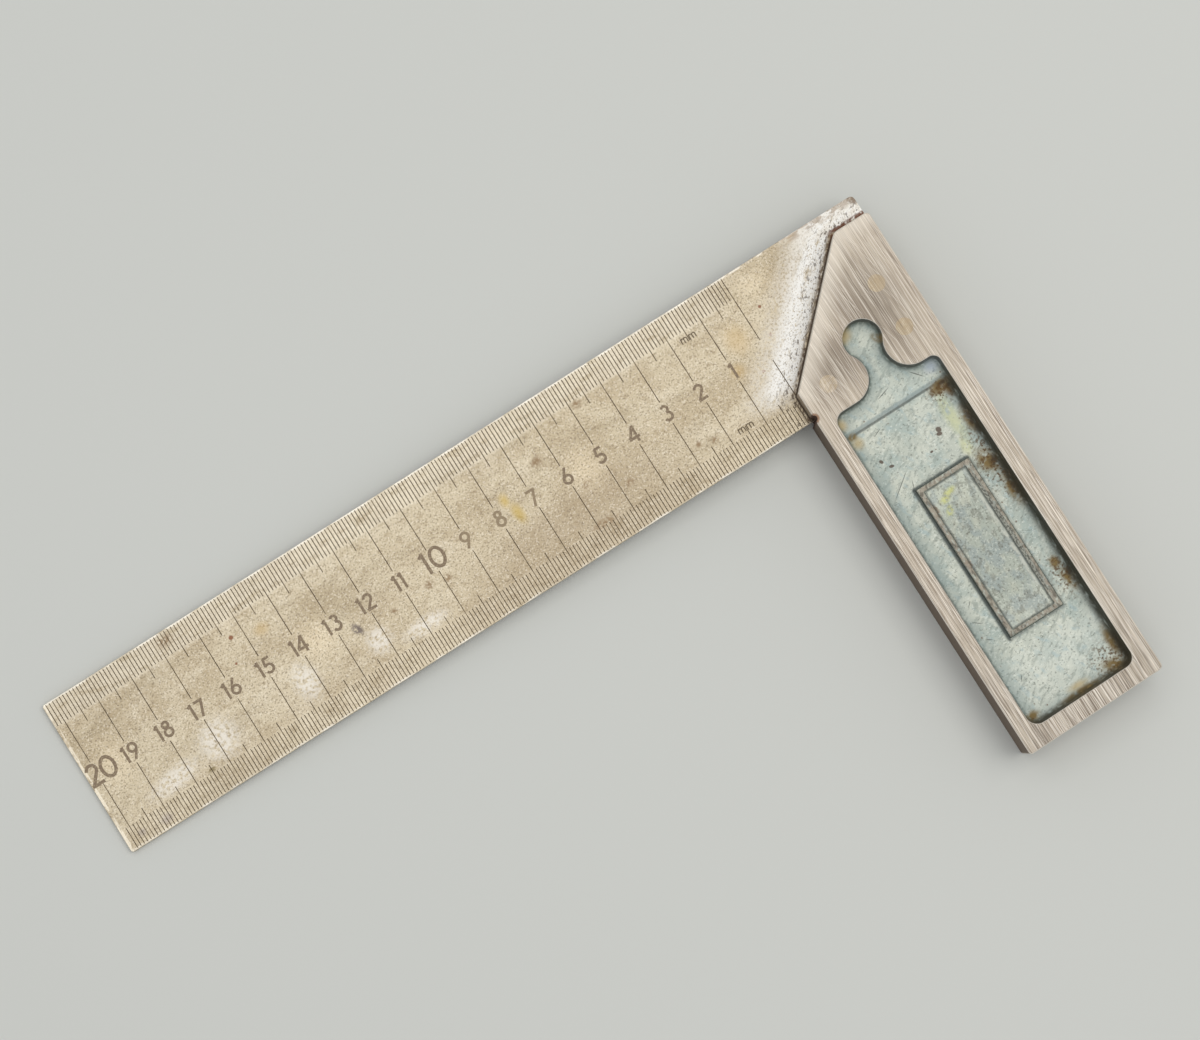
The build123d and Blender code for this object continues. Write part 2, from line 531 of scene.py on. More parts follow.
@dataclass(frozen=True)
class RuleFigure(Finish):
    """The floor of a figure: etched steel, browner than the face, and fainter from 7 to 9."""

    name: str = "Etched steel of the figures"
    colour: str = "877560"
    roughness: float = 0.65
    metallic: float = 0.25
    coats: tuple[Coat, ...] = (
        Coat("b3a286", (Grain((0.5, 0.5, 9), 0.5, 0.66, 2.0, 20),), 0.6),
        Coat("a89679", (Spots(((80, -21.7, 16, 5, 0),), 0.4),), 0.5),
        Coat("62533f", (Spots(((15, -34.9, 3.5, 1.6, 0), (15, -7.7, 3.5, 1.6, 0)), 0.2),), 0.9),
    )


@dataclass(frozen=True)
class RuleBack(Finish):
    """The rule's edges and lower face: the same steel, plain, with brown patina."""

    name: str = "Aged steel of the lower face"
    colour: str = "b8ab93"
    roughness: float = 0.45
    metallic: float = 0.6
    coats: tuple[Coat, ...] = (
        Coat("9c8c73", (Grain((18, 12, 9), 0.4, 0.66, 5.0, 13),), 0.45),
        Coat("8f7e64", (Grain((3, 2.4, 9), 0.52, 0.68, 5.0, 73),), 0.4),
        Coat("7c6c55", (Grain((0.45, 0.45, 0.45), 0.5, 0.66, 3.0, 14),), 0.5),
        Coat("ded2bc", (Grain((0.4, 0.4, 0.4), 0.54, 0.7, 3.0, 15),), 0.4),
    )


# The grinding wheel's lines along Y: long ones that short ones break up
BROAD_LINES = (Grain((0.5, 500, 0.5), 0.46, 0.6, 1.0, 22), Grain((1, 30, 1), 0.38, 0.58, 1.0, 29))
DARK_LINES = (Grain((0.17, 500, 0.17), 0.46, 0.58, 1.0, 23), Grain((0.25, 7, 0.25), 0.34, 0.5, 1.0, 30))
BRIGHT_LINES = (Grain((0.15, 500, 0.15), 0.48, 0.6, 1.0, 24), Grain((0.25, 9, 0.25), 0.39, 0.53, 1.0, 49))

# The stock below its head, where the lines are stronger
ARMS = Step((0, 1, 0), 2.0, 14.0)
TOE = Step((0, 1, 0), 66.0, 92.0)


@dataclass(frozen=True)
class GroundIron(Finish):
    """Grey cast iron with faces ground along the stock, a painted highlight on its chamfered edges, and
    rust with painted shade on the inner face.

    It gives fine lines along Y, drawn a little coarser than a real grinding wheel leaves them so that
    they show, a darker patch round the rivets, and brown rust where hands and wheels didn't reach.
    """

    name: str = "Ground grey cast iron"
    colour: str = "b5a998"
    roughness: float = 0.42
    metallic: float = 0.7
    coats: tuple[Coat, ...] = (
        Coat("a09282", (Grain((9, 40, 9), 0.42, 0.62, 2.0, 21),), 0.35),
        Coat("7b7062", (Spots(((-27, -16, 14, 20, 0), (-14, -9, 17, 11, 10)), 0.9),), 0.72),
        Coat("85776a", BROAD_LINES, 0.18),
        Coat("5f5246", DARK_LINES, 0.52),
        Coat("e8e0d3", BRIGHT_LINES, 0.4),
        Coat("5f5246", DARK_LINES + (ARMS,), 0.4),
        Coat("f0e8db", BRIGHT_LINES + (ARMS,), 0.45),
        Coat("5f5246", (Grain((0.26, 20, 0.26), 0.54, 0.61, 1.0, 75), TOE), 0.62),
        Coat("f0e8db", (Grain((0.26, 18, 0.26), 0.56, 0.63, 1.0, 76), TOE), 0.4),
        Coat("f2ebdf", (Grain((0.2, 12, 0.3), 0.66, 0.72, 1.0, 25, 14),), 0.35),
        Coat("ded5c7", (Beside(-6.0, -0.6), Step((0, -1, 0), 2.0, 7.0)), 0.4),
        Coat("7d7060", (Step(UP, 15.74, 15.7),), 0.6, 0.55, 0.6),
        # Painted highlight on the chamfers round the top face, partly edges rubbed bright
        Coat("efe8dc", (Step(UP, 15.72, 15.76), Step(UP, 15.99, 15.98)), 0.6),
        # Rust on the inner face, darkened further with painted shade
        Coat(
            "4f3d2d",
            (Step((1, 0, 0), -0.06, -0.02), Step((0, 1, 0), -1.0, 0.5), Step(UP, 15.8, 15.7)),
            0.75, 0.8, 0.2,
        ),
        Coat("45291a", (Spots(((0, 0, 1.5, 1.5, 0),), 0.3), Step(UP, 15.99, 15.9)), 0.95, 0.9, 0.0),
        Coat("8a5a34", (Spots(((0, 0, 1.6, 1.6, 0),), 0.35), Step(UP, 15.9, 15.99)), 0.7, 0.9, 0.0),
    )


# Enamel on a rough casting: a mottle of blue, cream and grey, with fine dark pores
ENAMEL_MOTTLE = (
    Coat("a5b4ae", (Grain((6, 8, 6), 0.42, 0.6, 4.0, 31),), 0.65),
    Coat("d6dacd", (Step((0, 1, 0), 9.0, 7.0),), 0.33),
    Coat("d8dacb", (Grain((4, 6, 4), 0.46, 0.62, 5.0, 32),), 0.65),
    Coat("dde1d6", (Step((0, 1, 0), 74, 80),), 0.35),
    Coat("8b938a", (Grain((2.6, 1.0, 1.6), 0.5, 0.66, 5.0, 33, 30),), 0.5, height=-0.05),
    Coat("a3b9bc", (Grain((1.6, 3.4, 1.6), 0.54, 0.7, 5.0, 53, 20),), 0.45),
    Coat("676c62", (Grain((0.6, 0.5, 0.5), 0.58, 0.68, 4.0, 34),), 0.6, height=-0.03),
    Coat("edf0e6", (Grain((0.6, 0.5, 0.5), 0.54, 0.7, 4.0, 35),), 0.45, height=0.02),
)

# The step in the floor as a grey line of painted shade on its face and a dark line of painted shade and
# dirt at its foot; painted shade, partly gathered enamel, where the wall meets the floor
ENAMEL_CREASE_SHADE = (
    Coat("8c9a9b", (Step((0, 1, 0), 7.2, 7.7), Step((0, 1, 0), 8.6, 8.2), Step(UP, 13.2, 12.4)), 0.6),
    Coat("4d5350", (Step((0, 1, 0), 8.2, 8.5), Step((0, 1, 0), 9.2, 8.8), Step(UP, 13.2, 12.4)), 0.75),
    # Painted shade along the walls, darkest at the wall's foot, partly enamel gathered there
    Coat("8b9a97", (Layer("edge", 4.5, 1.0),), 0.45),
    Coat("56605a", (Layer("edge", 1.5, 0.5), Grain((1.0, 1.4, 1.2), 0.3, 0.54, 5.0, 39)), 0.7),
    Coat("3a382f", (Layer("edge", 0.6, 0.25),), 0.75, 0.8),
)


# Brown rust under the step, along the outer wall and in the toe's corners
RUST = (
    (-24.9, -8.8, 1.5, 2.8, 30), (-31.8, 9.8, 4.2, 2.6, 10), (-6.0, 8.9, 1.9, 1.5, 0),
    (-33.4, 20.5, 2.2, 5.5, 0), (-31.6, 32.0, 4.0, 5.5, 20), (-33.2, 41.0, 2.6, 7.0, 0),
    (-31.8, 62.5, 2.2, 2.8, 0), (-32.6, 67.5, 2.0, 5.0, 10), (-33.2, 86.5, 2.3, 6.4, 0),
    (-30.8, 92.0, 5.4, 2.9, -16), (-6.2, 92.0, 3.0, 2.2, 0), (-20.0, 93.2, 9.0, 1.5, 0),
)

# Nearly black rust close to the walls
DEEP_RUST = (
    (-34.2, 21, 1.8, 7.5, 0), (-34.2, 40, 1.8, 9.0, 0), (-34.4, 88.5, 1.5, 6.0, 0),
    (-33.0, 33, 2.0, 2.6, 0), (-33.6, 66.5, 1.2, 3.2, 0), (-32.6, 9.4, 2.4, 1.2, 0),
    (-33.4, 10.4, 1.2, 1.0, 0),
)

# Chips through the enamel
CHIPS = (
    (-25.4, 18.8, 0.8, 0.95, 20), (-25.0, 19.8, 0.95, 0.6, -15), (-8.8, 18, 0.5, 0.7, 30),
    (-10.4, 20.3, 0.8, 0.45, -20), (-20.9, 22.6, 0.5, 0.35, 0),
)

# Scratches in the enamel, long and thin
SCRATCHES = (
    (-9.7, 25.7, 5.4, 0.16, 37), (-12.0, 11.2, 1.7, 0.16, 23), (-18.5, 3.7, 2.7, 0.18, 17),
    (-28.2, 4.0, 2.7, 0.2, -49), (-7.2, 65.0, 1.7, 0.14, -39), (-7.5, 70.1, 1.2, 0.14, -33),
    (-12.5, 27.0, 1.4, 0.14, 70), (-9.0, 82.5, 1.2, 0.16, 60), (-16.0, 80.0, 0.9, 0.14, -30),
    (-8.0, 60.0, 1.0, 0.14, 40),
)


@dataclass(frozen=True)
class StockEnamel(Finish):
    """Brushed enamel over a rough casting: pale blue-green with rust coming through, and painted shade in
    its corners, at its step and round its plate.

    It gives a mottle of blue, cream and grey, fine dark pores, chips, scratches and brown stains that
    lie where damp has stood: under the step in the floor, along the outer wall and in the toe's corners.
    """

    name: str = "Worn blue-green enamel"
    colour: str = "c1c6b9"
    roughness: float = 0.5
    metallic: float = 0.0
    coats: tuple[Coat, ...] = ENAMEL_MOTTLE + ENAMEL_CREASE_SHADE + (
        Coat(
            "d3d5a2",
            (
                Spots(((-30.0, 18, 2.8, 10, 0), (-29, 26, 2.4, 4, 0)), 0.9),
                Grain((0.8, 2, 1), 0.3, 0.5, 3.0, 36),
            ),
            0.65,
        ),
        Coat(
            "c2ab78",
            (
                Spots(
                    (
                        (-18.0, -13.6, 3.4, 2.6, 30), (-6.4, 10.9, 2.4, 2.6, 0),
                        (-5.4, 5.0, 1.9, 2.4, 0), (-20, 91.5, 4.5, 1.6, 0),
                    ),
                    0.9,
                ),
            ),
            0.7,
        ),
        Coat("9aa9c4", (Spots(((-32.2, 4.4, 3.0, 2.6, 0),), 1.0),), 0.5),
        Coat("6f5938", (Spots(((-31.0, 9.7, 4.4, 1.9, 12), (-33.2, 11.6, 1.9, 3.4, 0)), 1.0),), 1.0, 0.8),
        Coat("7f6b42", (Spots(RUST, 0.8), Grain((1.6, 1.6, 1.0), 0.24, 0.54, 8.0, 37)), 1.0, 0.75),
        Coat("443424", (Spots(DEEP_RUST, 0.7), Grain((1.2, 1.2, 0.8), 0.26, 0.56, 8.0, 38)), 0.9, 0.8),
        Coat(
            "5e4627",
            (
                Spots(
                    (
                        (-31.5, 11, 6, 5, 0), (-32, 33, 5.5, 16, 0), (-32, 66, 4.5, 9, 0),
                        (-30, 90, 8, 7, 0),
                    ),
                    0.8,
                ),
                Grain((0.7, 0.7, 0.7), 0.5, 0.62, 6.0, 56),
            ),
            0.9, 0.8, height=-0.03,
        ),
        Coat("6b4b30", (Pits(2.3, 0.3, 0.25, 5.0), Grain((0.5, 0.5, 0.5), 0.36, 0.5, 3.0, 57)), 0.8, 0.8),
        Coat("5f5044", (Spots(CHIPS, 0.35),), 0.9, 0.8, height=-0.08),
        Coat("4a4d47", (Spots(SCRATCHES, 0.6),), 0.75, 0.7),
        # Painted shadow beside the outer wall, broken up by a noise
        Coat(
            "33301f",
            (
                Layer("edge", 2.6, 0.6),
                Step((-1, 0, 0), 31.0, 33.0),
                Step((0, 1, 0), 4, 12),
                Grain((1, 2.5, 1), 0.26, 0.5, 6.0, 60),
            ),
            0.85, 0.8,
        ),
        # Painted shade along the toe's wall, broken up by a noise
        Coat(
            "3d3520",
            (Layer("edge", 2.2, 0.5), Step((0, 1, 0), 90.5, 93.0), Grain((2, 1, 1), 0.28, 0.5, 6.0, 61)),
            0.8, 0.8,
        ),
        # Painted shade round the plate's foot, partly dirt
        Coat("46524f", (Layer("plate", 1.3, 0.2), Grain((0.9, 1.3, 0.9), 0.28, 0.5, 3.0, 40)), 0.65),
        # Painted shadow that the plate casts on its +X and -Y sides
        Coat("2c3633", (Layer("plate", 1.1, 0.4), Step((1, 0, 0), -12.6, -11.9)), 0.8),
        Coat("2c3633", (Layer("plate", 0.9, 0.3), Step((0, -1, 0), -29.0, -28.6)), 0.7),
    )


@dataclass(frozen=True)
class LowerEnamel(StockEnamel):
    """The same enamel on the side that lies on the table: no plate, and rust only along its walls."""

    name: str = "Worn blue-green enamel, lower side"
    coats: tuple[Coat, ...] = ENAMEL_MOTTLE + (
        Coat("7a6036", (Layer("edge", 5.0, 1.0), Grain((4, 6, 3), 0.48, 0.62, 8.0, 71)), 0.9, 0.75),
        Coat("443424", (Layer("edge", 2.5, 0.6), Grain((2, 3, 2), 0.46, 0.6, 8.0, 72)), 0.85, 0.8),
        Coat("6b4b30", (Pits(2.9, 0.3, 0.2, 8.0),), 0.8, 0.8),
    ) + ENAMEL_CREASE_SHADE


# The groove between the two ridges of the plate's outer side, and the inner one of them
SEAM = Spots(((-26.55, 50.6, 0.62, 21.1, 0),), 0.25)
RIDGE = Spots(((-25.2, 50.6, 0.75, 24.0, 0),), 0.6)


@dataclass(frozen=True)
class PlateMetal(Finish):
    """The cast plate: enamel on its sides and in its pitted field, bare iron where its rim is rubbed, and
    painted shade on its sides and inside its rim.
    """

    name: str = "Rubbed enamel on cast iron"
    colour: str = "adb3a6"
    roughness: float = 0.5
    metallic: float = 0.0
    coats: tuple[Coat, ...] = (
        Coat("d3d7c6", (Step((0, 1, 0), 40.0, 34.0),), 0.55),
        Coat("d0d4c6", (Step((0, 1, 0), 62.0, 67.0),), 0.5),
        Coat("8f9b9c", (Grain((3, 5, 2.5), 0.44, 0.6, 4.0, 41),), 0.55),
        Coat("c3c4b2", (Grain((3, 4, 3), 0.52, 0.64, 4.0, 42),), 0.55),
        Coat("78776b", (Grain((1.3, 1.9, 0.7), 0.52, 0.62, 4.0, 43),), 0.5, 0.7, height=-0.12),
        Coat("5a584e", (Grain((0.5, 0.5, 0.6), 0.56, 0.66, 3.0, 48),), 0.5, height=-0.04),
        Coat("d9dccf", (Grain((0.5, 0.5, 0.6), 0.54, 0.68, 3.0, 44),), 0.5, height=0.02),
        Coat(
            "cdce80",
            (
                Spots(
                    (
                        (-19.0, 33.4, 3.0, 1.3, 15), (-17.0, 34.6, 2.0, 1.5, 0),
                        (-16.6, 37.6, 2.2, 1.4, 50),
                    ),
                    0.9,
                ),
                Grain((0.8, 0.8, 0.8), 0.3, 0.54, 5.0, 74),
            ),
            0.8,
        ),
        Coat(
            "7e5c38",
            (
                Spots(((-13.6, 36, 1.2, 3.0, 0), (-13.4, 51.5, 1.2, 2.0, 0)), 0.8),
                Grain((0.8, 0.8, 0.8), 0.4, 0.54, 3.0, 45),
            ),
            0.8,
        ),
        # Painted shade on the plate's sides, and on the rim's inner wall down to the field
        Coat("353a36", (Step(UP, 12.5, 12.3), Layer("across", 1.2, 0.4)), 0.8),
        Coat(
            "3f433d", (Layer("across", 1.2, 1.4), Layer("across", 2.2, 1.6), Step(UP, 12.58, 12.4)), 0.75
        ),
        Coat(
            "988d7d", (Step(UP, 12.5, 12.62), Grain((0.9, 1.6, 0.7), 0.3, 0.54, 4.0, 46)), 0.85, 0.45, 0.5
        ),
        Coat(
            "575146", (Step(UP, 12.48, 12.6), Grain((0.9, 1.6, 0.7), 0.48, 0.62, 5.0, 47)), 0.65, 0.6, 0.3
        ),
        Coat("999b90", (SEAM, Step(UP, 12.5, 12.6)), 0.85, 0.6, 0.1, -0.06),
        Coat(
            "3b3a31",
            (SEAM, Step(UP, 12.5, 12.6), Grain((0.4, 0.7, 0.4), 0.46, 0.58, 4.0, 78)),
            0.75, height=-0.05,
        ),
        Coat(
            "c9cabd",
            (RIDGE, Step(UP, 12.5, 12.4), Grain((0.9, 2.2, 0.9), 0.36, 0.58, 5.0, 79)),
            0.8, height=0.15,
        ),
    )


@dataclass(frozen=True)
class RivetBrass(Finish):
    """Brass, ground flush with the iron, so that the wheel's lines run on across it."""

    name: str = "Ground brass"
    colour: str = "a89880"
    roughness: float = 0.42
    metallic: float = 0.7
    coats: tuple[Coat, ...] = (
        Coat("bdb1a2", (Spots(((-7.75, -5.5, 6, 6, 0),), 0.1),), 0.7),
        Coat("8a7a63", BROAD_LINES, 0.18),
        Coat("6b5d49", DARK_LINES, 0.6),
        Coat("e8dcc4", BRIGHT_LINES, 0.5),
        Coat("9d8a6c", (Grain((0.8, 0.8, 9), 0.46, 0.62, 3.0, 26),), 0.45),
    )


@dataclass(frozen=True)
class PaleTable(Finish):
    """A pale grey laminate table top, plain."""

    name: str = "Pale grey laminate"
    colour: str = "cdcec9"
    roughness: float = 0.75
    metallic: float = 0.0


@dataclass(frozen=True)
class Wave:
    """Smooth unevenness: its most, the spacing of its swells in millimetres, and its own seed."""

    most: float
    spacing: float
    seed: int
    lattice: int = 256

    def at(self, points: np.ndarray) -> np.ndarray:
        """Numbers up to the most, from random values on a square lattice joined by smooth weights.

        The weight of the farther value is 3 times the square of the share of the way to it, less
        2 times its cube.

        Args:
            points: X and Y of each point.

        Returns:
            One number a point.
        """
        table = np.random.default_rng(self.seed).uniform(-1, 1, (self.lattice, self.lattice))
        scaled = points / self.spacing
        cell = np.floor(scaled).astype(int)
        share = scaled - cell
        share = share * share * (3 - 2 * share)
        x, y = cell.T % (self.lattice - 1)
        low = table[x, y] * (1 - share[:, 0]) + table[x + 1, y] * share[:, 0]
        high = table[x, y + 1] * (1 - share[:, 0]) + table[x + 1, y + 1] * share[:, 0]
        return self.most * (low * (1 - share[:, 1]) + high * share[:, 1])


def arc(centre: Point, radius: float, start: float, end: float, step: float = 0.3) -> np.ndarray:
    """Points on an arc: the centre plus the radius times cosine and sine of angles from start to end.

    Args:
        centre: Its middle.
        radius: Its radius.
        start: The first angle, in degrees.
        end: The last angle, in degrees.
        step: The most distance between two points.

    Returns:
        X and Y of each point.
    """
    count = max(3, int(abs(math.radians(end - start)) * radius / step) + 2)
    angles = np.radians(np.linspace(start, end, count))
    return np.column_stack((centre[0] + radius * np.cos(angles), centre[1] + radius * np.sin(angles)))


def rounded_corner(before: np.ndarray, corner: np.ndarray, after: np.ndarray, radius: float) -> np.ndarray:
    """Points on the arc that rounds a corner.

    It touches both lines at a distance from the corner of the radius times the tangent of half the turn.

    Args:
        before: The point before the corner.
        corner: The corner.
        after: The point after it.
        radius: The arc's radius.

    Returns:
        X and Y of each point.
    """
    inward = (corner - before) / np.linalg.norm(corner - before)
    onward = (after - corner) / np.linalg.norm(after - corner)
    turn = math.atan2(inward[0] * onward[1] - inward[1] * onward[0], float(inward @ onward))
    first = corner - inward * radius * math.tan(abs(turn) / 2)
    side = math.copysign(1, turn)
    centre = first + side * radius * np.array((-inward[1], inward[0]))
    start = math.degrees(math.atan2(*(first - centre)[::-1]))
    return arc(tuple(centre), radius, start, start + math.degrees(turn))


def rounded_corners(corners: np.ndarray, radii: tuple[float, ...]) -> list[np.ndarray]:
    """The arcs that round a closed outline's corners, in order."""
    ahead = np.roll(corners, -1, 0)
    return [rounded_corner(corners[i - 1], corners[i], ahead[i], radius) for i, radius in enumerate(radii)]


def evened(loop: np.ndarray, step: float) -> np.ndarray:
    """A closed loop's points spaced evenly along it, each between two of the old ones by its length.

    Args:
        loop: X and Y of the loop's points, without the first one again.
        step: The spacing wanted.

    Returns:
        X and Y of the new points.
    """
    closed = np.vstack((loop, loop[:1]))
    lengths = np.concatenate(([0], np.cumsum(np.linalg.norm(np.diff(closed, axis=0), axis=1))))
    places = np.linspace(0, lengths[-1], max(8, round(lengths[-1] / step)), endpoint=False)
    return np.column_stack([np.interp(places, lengths, closed[:, i]) for i in (0, 1)])


def inward(loop: np.ndarray) -> np.ndarray:
    """Unit vectors that point into a counter-clockwise loop: its direction turned left.

    Args:
        loop: X and Y of the loop's points.

    Returns:
        One vector a point.
    """
    along = np.roll(loop, -1, 0) - np.roll(loop, 1, 0)
    along /= np.linalg.norm(along, axis=1)[:, None]
    return np.column_stack((-along[:, 1], along[:, 0]))


def distance_to(points: np.ndarray, loop: np.ndarray) -> np.ndarray:
    """How far each point is from a closed loop: the least distance to its segments.

    Args:
        points: X and Y of each point.
        loop: X and Y of the loop's points.

    Returns:
        One distance a point.
    """
    starts, spans = loop, np.roll(loop, -1, 0) - loop
    apart = points[:, None, :] - starts[None]
    share = np.clip((apart * spans).sum(2) / (spans * spans).sum(1), 0, 1)
    return np.linalg.norm(apart - share[..., None] * spans, axis=2).min(1)


def inside(points: np.ndarray, loop: np.ndarray) -> np.ndarray:
    """Whether each point is in a closed loop: a ray along +X crosses it an odd number of times.

    Args:
        points: X and Y of each point.
        loop: X and Y of the loop's points.

    Returns:
        True or False for each point.
    """
    x, y = points[:, :1], points[:, 1:]
    ahead = np.roll(loop, -1, 0)
    spans = (loop[:, 1] > y) != (ahead[:, 1] > y)
    rise = np.where(ahead[:, 1] == loop[:, 1], 1.0, ahead[:, 1] - loop[:, 1])
    crossing = loop[:, 0] + (y - loop[:, 1]) * (ahead[:, 0] - loop[:, 0]) / rise
    return (spans & (x < crossing)).sum(1) % 2 == 1


# For the triangulation: keep the triangles inside the outer loop, and merge points closer than this
KEEP_INSIDE = 1
NEAREST = 1e-5


def triangulated(
    loops: list[np.ndarray], lines: list[np.ndarray], loose: np.ndarray | None = None
) -> tuple[np.ndarray, np.ndarray]:
    """Divides the plane inside the first loop into triangles that keep every loop and line.

    Args:
        loops: Closed loops, the outermost first.
        lines: Open lines.
        loose: More points to use.

    Returns:
        X and Y of the points, and the triangles as three point numbers each.
    """
    points, edges, start = [], [], 0
    for shape, closed in [(p, True) for p in loops] + [(p, False) for p in lines]:
        numbers = np.arange(start, start + len(shape))
        pairs = np.column_stack((numbers, np.roll(numbers, -1)))
        points.append(shape)
        edges.append(pairs if closed else pairs[:-1])
        start += len(shape)
    if loose is not None:
        points.append(loose)
    flat = [Vector(p) for p in np.vstack(points).tolist()]
    found = geometry.delaunay_2d_cdt(flat, np.vstack(edges).tolist(), [], KEEP_INSIDE, NEAREST)
    return np.array([tuple(v) for v in found[0]]), np.array([tuple(f) for f in found[2]])


def grid_over(loop: np.ndarray, step: float, margin: float = 0.0, shift: float = 0.0) -> np.ndarray:
    """The points of a square grid over a loop's box.

    Args:
        loop: X and Y of the loop's points.
        step: The grid's spacing.
        margin: How far inside the box the grid starts.
        shift: How far the first row and every other one are moved along X.

    Returns:
        X and Y of the grid's points.
    """
    low, high = loop.min(0) + margin, loop.max(0) - margin
    x, y = np.meshgrid(np.arange(low[0], high[0], step), np.arange(low[1], high[1], step))
    x[::2] += shift
    return np.column_stack((x.ravel(), y.ravel()))


def put(name: str, data: bpy.types.ID) -> bpy.types.Object:
    """Makes an object of a mesh, a lamp's light or a camera's lens, and puts it in the scene.

    Args:
        name: Its name.
        data: What it is made of.

    Returns:
        The object.
    """
    made = bpy.data.objects.new(name, data)
    bpy.context.scene.collection.objects.link(made)
    return made


def plan_of(piece: bpy.types.Object) -> np.ndarray:
    """Where the points of an object's mesh lie in plan.

    Args:
        piece: The object.

    Returns:
        X and Y of each point in millimetres.
    """
    place = np.empty(len(piece.data.vertices) * 3)
    piece.data.vertices.foreach_get("co", place)
    return place.reshape(-1, 3)[:, :2] / MM


def keep(piece: bpy.types.Object, name: str, values: np.ndarray) -> None:
    """Keeps one number at each point of an object's mesh, for a Layer of its finish."""
    kept = piece.data.attributes.new(name, "FLOAT", "POINT")
    kept.data.foreach_set("value", values.astype(np.float32))


# Points closer than this are one, in metres
DOUBLE = 2e-6


@dataclass
class Shell:
    """Points in millimetres and faces, gathered for one mesh."""

    points: list[np.ndarray] = field(default_factory=list)
    faces: list[list[int]] = field(default_factory=list)
    slots: list[int] = field(default_factory=list)
    count: int = 0

    def add(self, points: np.ndarray, faces: np.ndarray, slots: int | np.ndarray = 0) -> None:
        """Adds points, and faces that number them from 0.

        Args:
            points: X, Y and Z of each point.
            faces: The point numbers of each face.
            slots: The material slot of all faces, or of each.
        """
        self.points.append(points)
        self.faces.extend((faces + self.count).tolist())
        self.slots.extend(np.broadcast_to(slots, len(faces)).tolist())
        self.count += len(points)

    def add_rings(self, rings: np.ndarray, slot: int = 0) -> None:
        """Adds the bands between closed rings: point j of one joins points j and j + 1 of the next.

        Args:
            rings: X, Y and Z by ring and point, each ring counter-clockwise and inside the one before.
            slot: The material slot.
        """
        count, length = rings.shape[:2]
        ring, point = np.meshgrid(np.arange(count - 1), np.arange(length), indexing="ij")
        here, there = ring * length + point, ring * length + (point + 1) % length
        quads = np.stack((here, there, there + length, here + length), -1).reshape(-1, 4)
        self.add(rings.reshape(-1, 3), quads, slot)

    def piece(self, name: str, finishes: list[Finish], smooth_below: float = 0.0) -> bpy.types.Object:
        """Makes the object, with its doubles merged and its faces pointing outwards.

        Args:
            name: The object's name.
            finishes: Its materials, in the order of the slots.
            smooth_below: The angle in degrees under which an edge is shaded smooth.

        Returns:
            The object, riding on the square's one body.
        """
        mesh = bpy.data.meshes.new(name)
        mesh.from_pydata((np.vstack(self.points) * MM).tolist(), [], self.faces)
        mesh.polygons.foreach_set("material_index", self.slots)
        work = bmesh.new()
        work.from_mesh(mesh)
        bmesh.ops.remove_doubles(work, verts=work.verts, dist=DOUBLE)
        work.to_mesh(mesh)
        work.free()
        for finish in finishes:
            mesh.materials.append(finish.material())
        if smooth_below:
            mesh.shade_smooth()
            mesh.set_sharp_from_angle(angle=math.radians(smooth_below))
        piece = put(name, mesh)
        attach(piece, "root")
        LOG.info("%s: %d faces", name, len(mesh.polygons))
        return piece


def outward(piece: bpy.types.Object) -> None:
    """Turns the faces of a closed mesh outwards.

    Args:
        piece: The object with the mesh.
    """
    work = bmesh.new()
    work.from_mesh(piece.data)
    bmesh.ops.recalc_face_normals(work, faces=work.faces)
    work.to_mesh(piece.data)
    work.free()


